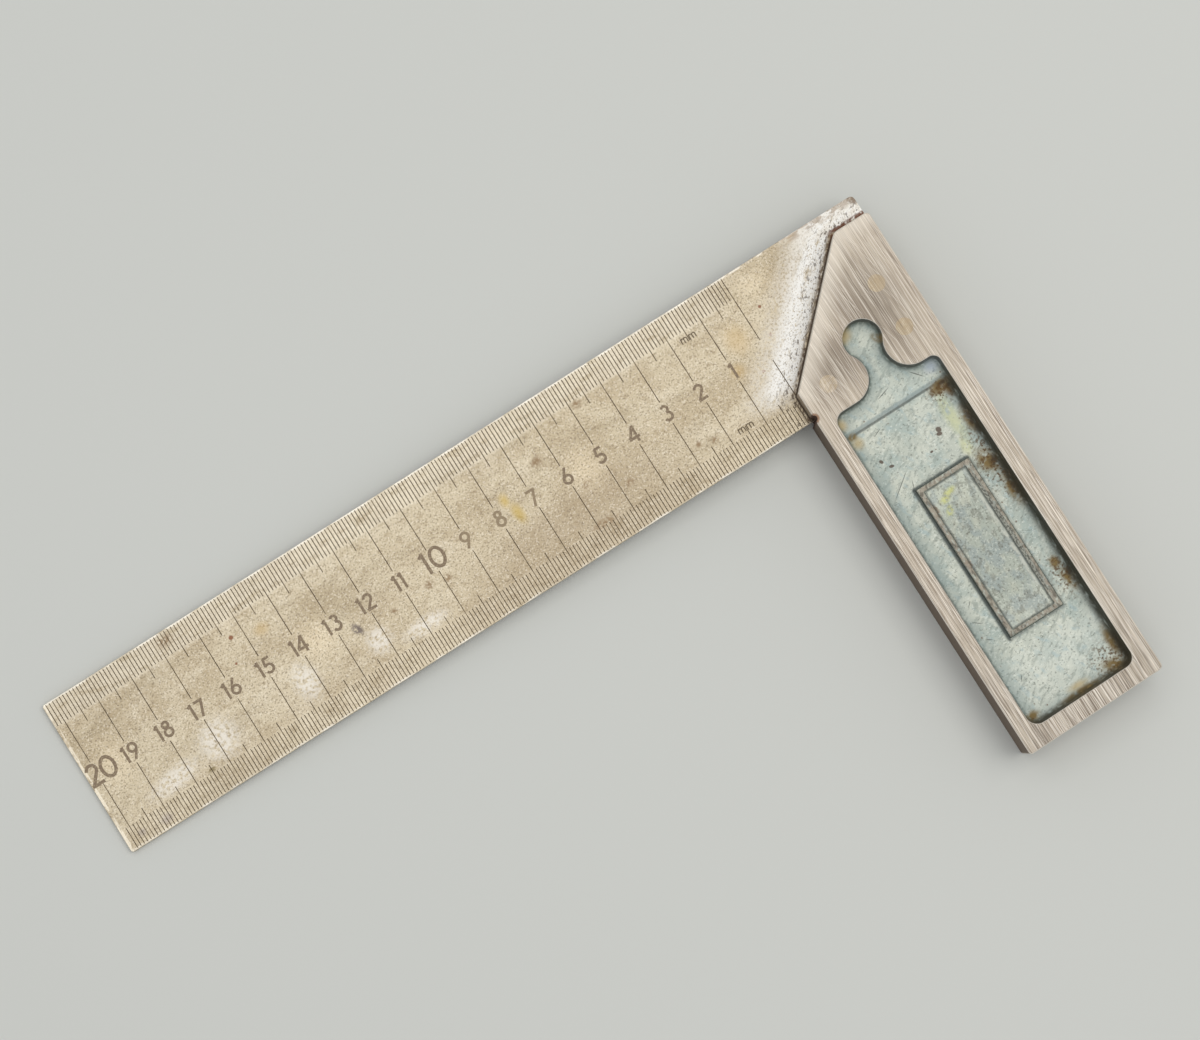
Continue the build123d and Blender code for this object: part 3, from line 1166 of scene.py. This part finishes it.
@dataclass
class Lettering:
    """Plain engraved figures, each drawn with strokes of one width on a cell one figure high.

    A stroke is a line of points. A bowl is an arc by centre, radius and its two angles, with a point
    each step. The cells are drawn for strokes of this weight.
    """

    weight: float = 0.146
    step: float = 0.06

    def strokes(self, sign: str) -> list[np.ndarray]:
        """The middle lines of a figure's strokes, with its middle at 0 and its height 1.

        Args:
            sign: One digit, or the letter m.

        Returns:
            X and Y of the points of each stroke.
        """
        edge = 0.5 - self.weight / 2

        def line(*points: Point) -> np.ndarray:
            """A straight stroke."""
            return np.array(points)

        def bowl(
            x: float, y: float, radius: float, start: float, end: float, tall: float = 1.0
        ) -> np.ndarray:
            """A round stroke, stretched along Y by tall."""
            points = arc((0, 0), radius, start, end, self.step)
            return points * (1, tall) + (x, y)

        def ring(x: float, y: float, radius: float, tall: float = 1.0) -> list[np.ndarray]:
            """A closed round stroke, as two halves that overlap."""
            return [bowl(x, y, radius, -95, 95, tall), bowl(x, y, radius, 85, 275, tall)]

        six = ring(0, -0.19, 0.237) + [line((0.13, 0.5), (-0.19, -0.03))]
        shapes = {
            "0": ring(0, 0, 0.29, edge / 0.29),
            "1": [line((0.04, -0.5), (0.04, 0.5)), line((0.06, 0.44), (-0.13, 0.31))],
            "2": [
                bowl(0, 0.21, 0.217, 172, -28),
                line((0.2, 0.12), (-0.25, -0.44)),
                line((-0.3, -edge), (0.28, -edge)),
            ],
            "3": [bowl(0, 0.245, 0.182, 150, -90), bowl(0, -0.19, 0.237, 90, -155)],
            "4": [
                line((0.13, -0.5), (0.13, 0.5)),
                line((0.11, 0.43), (-0.3, -0.2)),
                line((-0.36, -0.22), (0.31, -0.22)),
            ],
            "5": [
                line((-0.14, edge), (0.25, edge)),
                line((-0.11, 0.47), (-0.19, 0.02)),
                bowl(-0.02, -0.185, 0.242, 138, -150),
            ],
            "6": six,
            "7": [line((-0.27, edge), (0.28, edge)), line((0.23, 0.47), (-0.13, -0.5))],
            "8": ring(0, 0.255, 0.172) + ring(0, -0.195, 0.232),
            "9": [-part for part in six],
            "m": [
                line((-0.55, -0.5), (-0.55, 0.5)),
                bowl(-0.275, 0.15, 0.275, 180, 0),
                line((0, -0.5), (0, 0.15)),
                bowl(0.275, 0.15, 0.275, 180, 0),
                line((0.55, -0.5), (0.55, 0.15)),
            ],
        }
        return shapes[sign]

    def width(self, sign: str) -> float:
        """The width of a figure's cell, as a share of its height."""
        return {"0": 0.73, "1": 0.3, "m": 1.3}.get(sign, 0.6)

    def outlines(
        self, text: str, x: float, y: float, height: float, weight: float, gap: float
    ) -> list[np.ndarray]:
        """The strokes of a text as closed outlines on the rule, whose reader looks along +Y.

        The outline of a stroke is its middle line moved half its width to each side, along the
        bisector of its two segments. The text runs along -X and its figures stand along -Y.

        Args:
            text: The digits or letters.
            x: Where the text's middle is.
            y: Where the figures' middle is.
            height: Their height in millimetres.
            weight: The width of a stroke in millimetres.
            gap: The space between two cells in millimetres.

        Returns:
            X and Y of each outline, counter-clockwise.
        """
        widths = [self.width(sign) * height for sign in text]
        place = -(sum(widths) + gap * (len(text) - 1)) / 2
        found = []
        for sign, width in zip(text, widths):
            middle = place + width / 2
            place += width + gap
            for stroke in self.strokes(sign):
                points = stroke * height + (middle, 0)
                along = np.diff(points, axis=0)
                along /= np.linalg.norm(along, axis=1)[:, None]
                normal = np.column_stack((-along[:, 1], along[:, 0]))
                first, second = np.vstack((normal[:1], normal)), np.vstack((normal, normal[-1:]))
                side = (first + second) / (1 + (first * second).sum(1))[:, None] * weight / 2
                loop = np.vstack((points - side, (points + side)[::-1]))
                found.append(np.array((x, y)) - loop)
        return found


@dataclass
class Rule:
    """The blade: a steel rule with V-cut marks along both edges and sunk figures, worn at its edges.

    All lengths are in millimetres. An edge is worn back and deep, with nicks where a wave is above
    nick_from, and most at the heel. Short marks, half marks and those that run on to the gap for the
    figures are given for the outer and the inner edge. A large figure has its text, X, Y, height and gap.
    """

    tip: float = 202.9
    heel: float = -39.8
    width: float = 43.5
    top: float = 8.8
    bottom: float = 7.2
    tip_radius: float = 0.5
    heel_radius: float = 1.0
    sharp_radius: float = 0.02
    worn_back: float = 0.1
    worn_deep: float = 0.08
    back_wave: Wave = Wave(0.06, 2.0, 3)
    nick_wave: Wave = Wave(1.0, 5.0, 4)
    deep_wave: Wave = Wave(0.03, 3.0, 5)
    nick_from: float = 0.5
    nick_back: float = 0.1
    heel_back: float = 0.55
    heel_deep: float = 0.4
    heel_reach: Point = (1.6, 2.2)
    lower_share: float = 0.8
    edge_step: float = 0.6
    hole_step: float = 0.4
    slack: float = 1e-4
    mark_width: float = 0.23
    mark_depth: float = 0.1
    mark_margin: float = 0.3
    last_outer: int = 202
    last_inner: int = 201
    last_figure: int = 20
    short_outer: float = 6.4
    short_inner: float = 6.1
    half_outer: float = 9.3
    half_inner: float = 8.3
    gap_outer: float = -24.9
    gap_inner: float = -18.7
    figure_depth: float = 0.1
    figure_row: float = -21.68
    figure_height: float = 4.45
    figure_weight: float = 0.7
    figure_gap: float = 0.5
    large_weight: float = 0.85
    large: tuple[tuple[str, float, float, float, float], ...] = (
        ("10", 99.6, -22.0, 6.0, 0.5),
        ("20", 198.55, -21.7, 6.1, 0.1),
    )
    unit_x: float = 15.04
    unit_rows: Point = (-34.9, -7.75)
    unit_height: float = 1.5
    unit_weight: float = 0.28
    unit_gap: float = 0.45
    rivet_radius: float = 2.25
    rivet_places: tuple[Point, ...] = ((-31.7, -20.5), (-31.7, -7.5), (-7.75, -5.5))
    lettering: Lettering = field(default_factory=Lettering)

    def outline(self) -> np.ndarray:
        """The rule's plan: a rectangle with small rounded corners at tip and heel.

        Returns:
            X and Y of its points, counter-clockwise.
        """
        low, high, left, right = -self.width, 0.0, self.heel, self.tip
        corners = np.array(((left, low), (right, low), (right, high), (left, high)))
        radii = (self.heel_radius, self.tip_radius, self.tip_radius, self.sharp_radius)
        return evened(np.vstack(rounded_corners(corners, radii)), self.edge_step)

    def marks(self) -> list[Triple]:
        """The marks of both edges, from 0 to 2 mm past 200 on the outer one and 1 mm on the inner one.

        Returns:
            Each mark as its X and the lower and higher Y of its two ends.
        """
        found = []
        for x in range(self.last_outer + 1):
            reach = self.half_outer if x % HALF_CENTIMETRE == 0 else self.short_outer
            end = self.gap_outer if x % CENTIMETRE == 0 else reach - self.width
            found.append((float(x), self.mark_margin - self.width, end))
        for x in range(self.last_inner + 1):
            reach = self.half_inner if x % HALF_CENTIMETRE == 0 else self.short_inner
            end = self.gap_inner if x % CENTIMETRE == 0 else -reach
            found.append((float(x), end, -self.mark_margin))
        return found

    def figures(self) -> list[np.ndarray]:
        """The figures: one on each centimetre, the large ones where they are, and mm at both edges.

        Returns:
            X and Y of each outline.
        """
        found = []
        sizes = (self.figure_height, self.figure_weight, self.figure_gap)
        enlarged = [text for text, *_ in self.large]
        for text in map(str, range(1, self.last_figure)):
            if text not in enlarged:
                found += self.lettering.outlines(text, int(text) * CENTIMETRE, self.figure_row, *sizes)
        for text, x, y, height, gap in self.large:
            found += self.lettering.outlines(text, x, y, height, self.large_weight, gap)
        sizes = (self.unit_height, self.unit_weight, self.unit_gap)
        for y in self.unit_rows:
            found += self.lettering.outlines("mm", self.unit_x, y, *sizes)
        return found

    def worn_edge(self, loop: np.ndarray) -> tuple[np.ndarray, np.ndarray]:
        """How far the edge is worn back in plan and how deep: waves along it, and a bell at the heel.

        The bell is e to the power of minus the squared distance from the heel's corner over its reach.

        Args:
            loop: The rule's plan.

        Returns:
            For each point, the two distances.
        """
        nicks = self.nick_back * np.clip(self.nick_wave.at(loop) - self.nick_from, 0, 1)
        back = self.worn_back + self.back_wave.at(loop) + nicks
        deep = self.worn_deep + self.deep_wave.at(loop)
        heel = np.exp(-(((loop - (self.heel, -self.width)) / self.heel_reach) ** 2).sum(1))
        return back + self.heel_back * heel, deep + self.heel_deep * heel

    def build(self) -> bpy.types.Object:
        """Makes the rule's mesh and puts it in the place of the plain one.

        The upper face is triangulated round every mark, figure and rivet hole. The middle line of a
        mark is lowered, which makes a V groove with sloping ends. The triangles of a figure are
        lowered as a whole, and a wall is added along each edge that has a lowered triangle on one
        side only. The rivet holes get walls through the rule in the same way.

        Returns:
            The object.
        """
        plan = self.outline()
        back, deep = self.worn_edge(plan)
        inner = plan + inward(plan) * back[:, None]
        half = self.mark_width / 2
        marks = self.marks()
        boxes = [
            np.array(((x - half, a), (x + half, a), (x + half, b), (x - half, b))) for x, a, b in marks
        ]
        valleys = [np.array(((x, a + half), (x, b - half))) for x, a, b in marks]
        figures = self.figures()
        holes = [arc(at, self.rivet_radius, 0, 360, self.hole_step)[:-1] for at in self.rivet_places]
        flat, triangles = triangulated([inner] + boxes + figures + holes, valleys)
        shapes = {Ink.MARK: boxes, Ink.FIGURE: figures, Ink.BACK: holes}
        kinds = self.kinds(flat[triangles].mean(1), shapes)
        height = np.full(len(flat), self.top)
        height[self.in_valley(flat, valleys)] -= self.mark_depth
        shell = Shell()
        level = np.column_stack((flat, height))
        sunk = np.column_stack((flat, np.full(len(flat), self.top - self.figure_depth)))
        count = len(flat)
        figure, hole = kinds == Ink.FIGURE.value, kinds == Ink.BACK.value
        solid = ~(figure | hole)
        shell.add(level, triangles[solid], kinds[solid])
        shell.add(sunk, triangles[figure], Ink.FIGURE.value)
        figure_walls = self.walls(triangles[solid], triangles[figure], count)
        shell.add(np.vstack((level, sunk)), figure_walls, Ink.FIGURE.value)
        lower = np.column_stack((flat, np.full(count, self.bottom)))
        hole_walls = self.walls(triangles[solid], triangles[hole], count)
        shell.add(np.vstack((level, lower)), hole_walls, Ink.BACK.value)
        back_flat, back_triangles = triangulated([inner] + holes, [])
        middles = back_flat[back_triangles].mean(1)
        kept = ~np.any([inside(middles, loop) for loop in holes], 0)
        under = np.column_stack((back_flat, np.full(len(back_flat), self.bottom)))
        shell.add(under, back_triangles[kept][:, ::-1], Ink.BACK.value)
        level_top, level_bottom = np.full(len(plan), self.top), np.full(len(plan), self.bottom)
        levels = (level_bottom, self.bottom + deep * self.lower_share, self.top - deep, level_top)
        rings = np.stack([np.column_stack((p, z)) for p, z in zip((inner, plan, plan, inner), levels)])
        shell.add_rings(rings[:3], Ink.BACK.value)
        shell.add_rings(rings[2:], Ink.FACE.value)
        piece = shell.piece("rule", [SteelRule(), RuleMark(), RuleFigure(), RuleBack()])
        outward(piece)
        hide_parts("blade")
        return piece

    @staticmethod
    def kinds(middles: np.ndarray, shapes: dict[Ink, list[np.ndarray]]) -> np.ndarray:
        """What each triangle of the upper face is, by the loop that its middle lies in.

        Args:
            middles: X and Y of each triangle's middle.
            shapes: The closed loops of each kind.

        Returns:
            The kind's number for each triangle.
        """
        found = np.full(len(middles), Ink.FACE.value)
        for kind, loops in shapes.items():
            for loop in loops:
                near = np.flatnonzero(((middles > loop.min(0)) & (middles < loop.max(0))).all(1))
                found[near[inside(middles[near], loop)]] = kind.value
        return found

    def in_valley(self, flat: np.ndarray, valleys: list[np.ndarray]) -> np.ndarray:
        """Whether each point lies on the middle line of a mark.

        Args:
            flat: X and Y of each point.
            valleys: The two ends of each middle line, the lower one first.

        Returns:
            True or False for each point.
        """
        starts, ends = np.array(valleys).transpose(1, 0, 2)
        beside = np.abs(flat[:, :1] - starts[:, 0]) < self.slack
        past_start = flat[:, 1:] > starts[:, 1] - self.slack
        before_end = flat[:, 1:] < ends[:, 1] + self.slack
        return (beside & past_start & before_end).any(1)

    @staticmethod
    def walls(high: np.ndarray, low: np.ndarray, count: int) -> np.ndarray:
        """The walls between two levels: one quad for each edge that a high and a low triangle share.

        Args:
            high: Triangles of the upper level.
            low: Triangles of the lower level, with the same point numbers.
            count: How far the point numbers of the lower level are from those of the upper one.

        Returns:
            The quads, facing the low triangles.
        """
        first = np.vstack([high[:, [i, (i + 1) % 3]] for i in range(3)])
        second = np.vstack([low[:, [(i + 1) % 3, i]] for i in range(3)])
        shared = np.isin(first[:, 0] * count + first[:, 1], second[:, 0] * count + second[:, 1])
        a, b = first[shared].T
        return np.column_stack((a, a + count, b + count, b))


@dataclass
class Plate:
    """The plate on the recess's floor: a rim round a bare field, with rubbed edges.

    Lengths are in millimetres. Enamel covers its sides by cover and its top by lift, and flares out
    at its foot. Its edges are rounded by soft, its outer side is broader than the casting under it,
    and fillet has the steps in and up where the rim meets the field.
    """

    x: float = -19.8
    y: float = 50.6
    half_width: float = 7.7
    half_length: float = 21.95
    foot: float = 11.25
    floor: float = 11.4
    top: float = 12.6
    field_height: float = 12.2
    rim_width: float = 1.2
    draft: float = math.radians(12)
    cover: float = 0.1
    lift: float = 0.06
    flare: float = 0.03
    flare_height: float = 0.15
    inner_cover: float = 0.02
    fillet: tuple[Point, ...] = ((0.05, 0.06), (0.25, 0.0))
    broader: float = 0.42
    soft: float = 0.22
    corner: float = 0.25
    turns: int = 5
    side_points: int = 60
    grid: float = 0.4
    unevenness: Wave = Wave(0.03, 2.5, 12)
    smooth_below: float = 50.0

    @property
    def half(self) -> Point:
        """Half its width and half its length at its foot."""
        return self.half_width, self.half_length

    def ring(self, out: float) -> np.ndarray:
        """A rectangle with rounded corners, out from the plate's own foot, always with as many points.

        Args:
            out: How far outside the plate's foot it lies, or inside when negative.

        Returns:
            X and Y of each point, counter-clockwise.
        """
        wide, long = self.half_width + out - self.corner, self.half_length + out - self.corner
        angles = np.radians(np.linspace(0, 90, self.turns))
        quarter = self.corner * np.column_stack((np.cos(angles), np.sin(angles)))
        parts = []
        middles = ((wide, long), (-wide, long), (-wide, -long), (wide, -long))
        for turn, middle in enumerate(middles):
            sine, cosine = math.sin(turn * math.pi / 2), math.cos(turn * math.pi / 2)
            turned = quarter @ np.array(((cosine, sine), (-sine, cosine)))
            ends = np.array(middles[(turn + 1) % 4]) - np.array(middle)
            shares = np.linspace(0, 1, self.side_points, endpoint=False)[1:, None]
            along = turned[-1] + middle + shares * ends
            parts += [turned + middle, along]
        return np.vstack(parts) + (self.x, self.y)

    def build(self) -> bpy.types.Object:
        """Makes the plate: rings up its side, over its rim and down to a triangulated field.

        The rim's two edges are quarter rounds: soft times 1 minus cosine in, and soft times 1 minus
        sine down.

        Returns:
            The object, whose points keep how far in from the plate's foot they lie.
        """
        rise = self.top - self.floor
        shoulder = self.cover - rise * math.tan(self.draft)
        inner = -self.rim_width - rise * math.tan(self.draft) + self.inner_cover
        crest = self.top + self.lift
        turns = np.linspace(0, math.pi / 2, self.turns)
        side = [(self.cover + self.flare, self.foot), (self.cover, self.floor + self.flare_height)]
        round_off = [(self.soft * (1 - math.cos(a)), self.soft * (1 - math.sin(a))) for a in turns]
        over = [(shoulder - along, crest - down) for along, down in round_off]
        under = [(inner + along, crest - down) for down, along in round_off]
        floor = self.field_height + self.lift
        profile = side + over + under + [(inner - along, floor + up) for along, up in self.fillet]
        loops = [self.ring(out) for out, _ in profile]
        rings = np.stack([np.column_stack((p, np.full(len(p), z))) for p, (_, z) in zip(loops, profile)])
        outside = rings[: len(side + over), :, 0]
        outside -= self.broader * np.clip((self.x - outside) / self.half_width, 0, 1)
        flat = rings[-1][:, :2]
        spread, triangles = triangulated([flat], [], grid_over(flat, self.grid, self.grid))
        upper = rings[len(side) :]
        upper[..., 2] += self.unevenness.at(upper[..., :2].reshape(-1, 2)).reshape(upper.shape[:2])
        height = np.full(len(spread), floor) + self.unevenness.at(spread)
        shell = Shell()
        shell.add_rings(rings)
        shell.add(np.column_stack((spread, height)), triangles)
        base = rings[0]
        shell.add(base, np.arange(len(base))[None, ::-1])
        piece = shell.piece("plate", [PlateMetal()], self.smooth_below)
        within = self.half - np.abs(plan_of(piece) - (self.x, self.y))
        keep(piece, "across", within.min(1))
        return piece


@dataclass
class Recess:
    """The enamel in one recess of the stock: it follows the casting's walls, foot and stepped floor.

    All lengths are in millimetres, and those of the casting are as in the part's source. Waves and
    lift raise the film, and fade is how far below the rim they reach their full height.
    """

    side: Side
    plate: Plate = field(default_factory=Plate)
    thickness: float = 16.0
    inner_x: float = -4.1
    outer_x: float = -34.9
    shoulder_y: float = 2.2
    toe_offset: float = 94.4
    toe_slope: float = math.tan(math.radians(0.9))
    neck_x: float = -21.1
    neck_width: float = 6.6
    flare_radius: float = 6.5
    ball_radius: float = 5.1
    corner_radii: tuple[float, ...] = (3.0, 3.2, 2.8, 2.2)
    draft: float = math.radians(5)
    foot_radius: float = 1.4
    head_floor: float = 12.1
    body_floor: float = 11.4
    step_y: float = 7.45
    step_run: float = 1.5
    rim: float = 15.84
    film: float = 0.09
    skin: float = 0.25
    step: float = 0.4
    grid: float = 0.5
    grid_margin: float = 0.3
    rows: int = 8
    waves: tuple[Wave, ...] = (Wave(0.05, 4.0, 8), Wave(0.03, 1.6, 9), Wave(0.015, 0.8, 10))
    lift: float = 0.06
    fade: float = 1.5
    smooth_below: float = 40.0

    def outline(self) -> np.ndarray:
        """The recess's plan at the face: a ball on a flaring neck on a long body.

        Returns:
            X and Y of its points, counter-clockwise.
        """
        reach = self.neck_width / 2 + self.flare_radius
        flare_y = self.shoulder_y - self.flare_radius
        drop = math.sqrt((self.ball_radius + self.flare_radius) ** 2 - reach**2)
        ball = (self.neck_x, flare_y - drop)
        angle = math.degrees(math.atan2(drop, reach))
        toe = [(x, self.toe_offset + x * self.toe_slope) for x in (self.inner_x, self.outer_x)]
        corners = np.array([(self.inner_x, self.shoulder_y), *toe, (self.outer_x, self.shoulder_y)])
        rounds = rounded_corners(corners, self.corner_radii)
        parts = [
            arc((self.neck_x - reach, flare_y), self.flare_radius, 90, -angle),
            arc(ball, self.ball_radius, 180 - angle, 360 + angle),
            arc((self.neck_x + reach, flare_y), self.flare_radius, 180 + angle, 90),
        ]
        return evened(np.vstack(parts + rounds), self.step)

    def floor(self, y: np.ndarray) -> np.ndarray:
        """The floor's height at a Y: the head's, then a smooth step down to the body's."""
        share = np.clip((y - self.step_y) / self.step_run, 0, 1)
        return self.head_floor + (self.body_floor - self.head_floor) * share * share * (3 - 2 * share)

    def rings(self, loop: np.ndarray) -> np.ndarray:
        """The film's rings, down the wall and round the foot.

        The wall leans by the draft, then a quarter round joins it to the floor, both moved off the
        casting by the film's thickness. On the round, a point at an angle a lies radius times cos a
        nearer the outline than the round's centre, and radius times sin a below it.

        Args:
            loop: The recess's plan.

        Returns:
            X, Y and Z by ring and point.
        """
        normal = inward(loop)
        radius = self.foot_radius - self.film
        lean = math.tan(self.draft)
        centre_z = self.floor(loop[:, 1]) + self.foot_radius
        centre_in = (self.thickness - centre_z) * lean + self.foot_radius / math.cos(self.draft)
        angles = np.linspace(self.draft, math.pi / 2, self.rows)
        shares = np.linspace(0, 1, self.rows)[:-1]
        top_in = (self.thickness - self.rim) * lean + self.film / math.cos(self.draft)
        foot_in = centre_in - radius * math.cos(self.draft)
        foot_z = centre_z - radius * math.sin(self.draft)
        rows = [(top_in + (foot_in - top_in) * s, self.rim + (foot_z - self.rim) * s) for s in shares]
        rows += [(centre_in - radius * math.cos(a), centre_z - radius * math.sin(a)) for a in angles]
        return np.stack([np.column_stack((loop + normal * inset[:, None], z)) for inset, z in rows])

    def build(self) -> bpy.types.Object:
        """Makes the film: its rings, then a triangulated floor inside the lowest of them.

        Returns:
            The object, whose points keep how far from the outline and from the plate they lie.
        """
        loop = self.outline()
        rings = self.rings(loop)
        lowest = rings[-1][:, :2]
        loose = grid_over(lowest, self.grid, shift=self.grid / 2)
        loose = loose[inside(loose, lowest)]
        loose = loose[distance_to(loose, lowest[::2]) > self.grid_margin]
        flat, triangles = triangulated([lowest], [], loose)
        depth = self.floor(flat[:, 1]) + self.film
        shell = Shell()
        rings[..., 2] += self.lumps(rings.reshape(-1, 3)).reshape(rings.shape[:2])
        spread = np.column_stack((flat, depth))
        spread[:, 2] += self.lumps(spread)
        shell.add_rings(rings)
        shell.add(spread, triangles)
        if self.side is Side.LOWER:
            shell.points = [p * (1, 1, -1) + (0, 0, self.thickness) for p in shell.points]
            shell.faces = [face[::-1] for face in shell.faces]
        finish = StockEnamel() if self.side is Side.UPPER else LowerEnamel()
        piece = shell.piece("enamel_" + self.side.name.lower(), [finish], self.smooth_below)
        flat = plan_of(piece)
        keep(piece, "edge", distance_to(flat, loop))
        past = np.maximum(np.abs(flat - (self.plate.x, self.plate.y)) - self.plate.half, 0)
        keep(piece, "plate", np.linalg.norm(past, axis=1))
        skin = piece.modifiers.new("Film", "SOLIDIFY")
        skin.thickness = self.skin * MM
        skin.offset = -1
        return piece

    def lumps(self, points: np.ndarray) -> np.ndarray:
        """How far brush marks and the rough casting lift the film: its waves, and nothing at the rim.

        Args:
            points: X, Y and Z of each point.

        Returns:
            One height a point.
        """
        flat = points[:, :2]
        noise = sum(wave.at(flat) for wave in self.waves)
        return (noise + self.lift) * np.clip((self.rim - points[:, 2]) / self.fade, 0, 1)


@dataclass(frozen=True)
class Lamp:
    """A square soft lamp that faces the square: its place and side in metres, its power in watts."""

    name: str
    place: Triple
    size: float
    power: float
    tint: str
    shines: bool
    target: Triple = (0.06, 0.0, 0.0)

    def build(self) -> None:
        """Makes the lamp, which shows in reflections only if it shines."""
        light = bpy.data.lights.new(self.name, "AREA")
        light.shape = "SQUARE"
        light.size = self.size
        light.energy = self.power
        light.color = linear(self.tint)[:3]
        lamp = put(self.name, light)
        lamp.location = self.place
        lamp.visible_glossy = self.shines
        way = Vector(self.target) - Vector(self.place)
        lamp.rotation_euler = way.to_track_quat("-Z", "Y").to_euler()


@dataclass
class Studio:
    """The table, the light and the camera.

    Lengths are in metres, the sensor's in millimetres. The sky has the strength glow in its light and
    backdrop where it is seen.
    """

    slope: float = 7.2 / 202.9
    table_half: float = 3.0
    image: tuple[int, int] = (1200, 1040)
    focal_pixels: float = 2900.0
    camera_place: Triple = (0.077132, 0.042543, 0.739856)
    right: Triple = (-0.844679, 0.535045, -0.015620)
    up: Triple = (-0.534686, -0.842027, 0.071430)
    forward: Triple = (-0.025066, -0.068687, -0.997323)
    sensor: float = 36.0
    sky: str = "f4f6f8"
    glow: float = 0.58
    backdrop: float = 0.9
    lamps: tuple[Lamp, ...] = (
        Lamp("Window", (-0.45, 0.12, 1.1), 0.65, 4.2, "fffdf8", False),
        Lamp("Overhead", (0.05, -0.35, 1.5), 1.2, 5.5, "ffffff", True),
    )

    def table(self) -> bpy.types.Object:
        """Makes the table: a plane through the stock's lower inner edge and the rule's lower tip.

        The square tips over its inner edge onto the rule's tip, so the plane falls by the rule's
        height over its length.

        Returns:
            The object.
        """
        half = self.table_half
        sides = ((-half, -half), (half, -half), (half, half), (-half, half))
        corners = [(x, y, x * self.slope) for x, y in sides]
        mesh = bpy.data.meshes.new("table")
        mesh.from_pydata(corners, [], [(0, 1, 2, 3)])
        mesh.materials.append(PaleTable().material())
        table = put("table", mesh)
        return table

    def world(self) -> None:
        """Makes a pale world, paler where the camera or a reflection sees it than in its light."""
        world = bpy.data.worlds.new("Studio")
        world.use_nodes = True
        tree = world.node_tree
        background = tree.nodes["Background"]
        background.inputs["Color"].default_value = linear(self.sky)
        path = add_node(tree, "LightPath")
        seen = {0: path.outputs["Is Camera Ray"], 1: path.outputs["Is Glossy Ray"]}
        either = add_node(tree, "Math", seen, operation="MAXIMUM").outputs[0]
        ends = {"Value": either, "To Min": self.glow, "To Max": self.backdrop}
        strength = add_node(tree, "MapRange", ends).outputs[0]
        tree.links.new(strength, background.inputs["Strength"])
        bpy.context.scene.world = world

    def camera(self) -> None:
        """Makes the camera from its place, its three axes and its focal length in pixels."""
        lens = bpy.data.cameras.new("Camera")
        lens.sensor_width = self.sensor
        lens.lens = self.focal_pixels / self.image[0] * self.sensor
        camera = put("Camera", lens)
        axes = Matrix((self.right, self.up, tuple(-c for c in self.forward))).transposed()
        camera.matrix_world = Matrix.Translation(self.camera_place) @ axes.to_4x4()
        bpy.context.scene.camera = camera

    def build(self) -> None:
        """Makes the table, the world, the lamps and the camera."""
        self.table()
        self.world()
        for lamp in self.lamps:
            lamp.build()
        self.camera()
        bpy.context.scene.view_settings.view_transform = "Standard"


@dataclass
class Square:
    """The whole square: the cast stock and its rivets, which keep their meshes, and what is built anew."""

    rule: Rule = field(default_factory=Rule)
    upper: Recess = field(default_factory=lambda: Recess(Side.UPPER))
    lower: Recess = field(default_factory=lambda: Recess(Side.LOWER))
    plate: Plate = field(default_factory=Plate)

    def dress(self, node: str, finish: Finish) -> None:
        """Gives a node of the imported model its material.

        Args:
            node: The node's name.
            finish: Its material.
        """
        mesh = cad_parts[node].data
        mesh.materials.clear()
        mesh.materials.append(finish.material())
        LOG.info("%s: %d faces, dressed", node, len(mesh.polygons))

    def build(self) -> None:
        """Dresses the nodes that stay and builds the other pieces."""
        self.dress("stock", GroundIron())
        for node in ("rivet_nose", "rivet_heel", "rivet_corner"):
            self.dress(node, RivetBrass())
        self.rule.build()
        self.upper.build()
        self.lower.build()
        self.plate.build()


def main() -> None:
    """Builds the square and the studio."""
    logging.basicConfig(level=logging.INFO, format="%(message)s")
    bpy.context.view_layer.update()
    Square().build()
    Studio().build()
    bpy.context.view_layer.update()


if __name__ == "__main__":
    main()
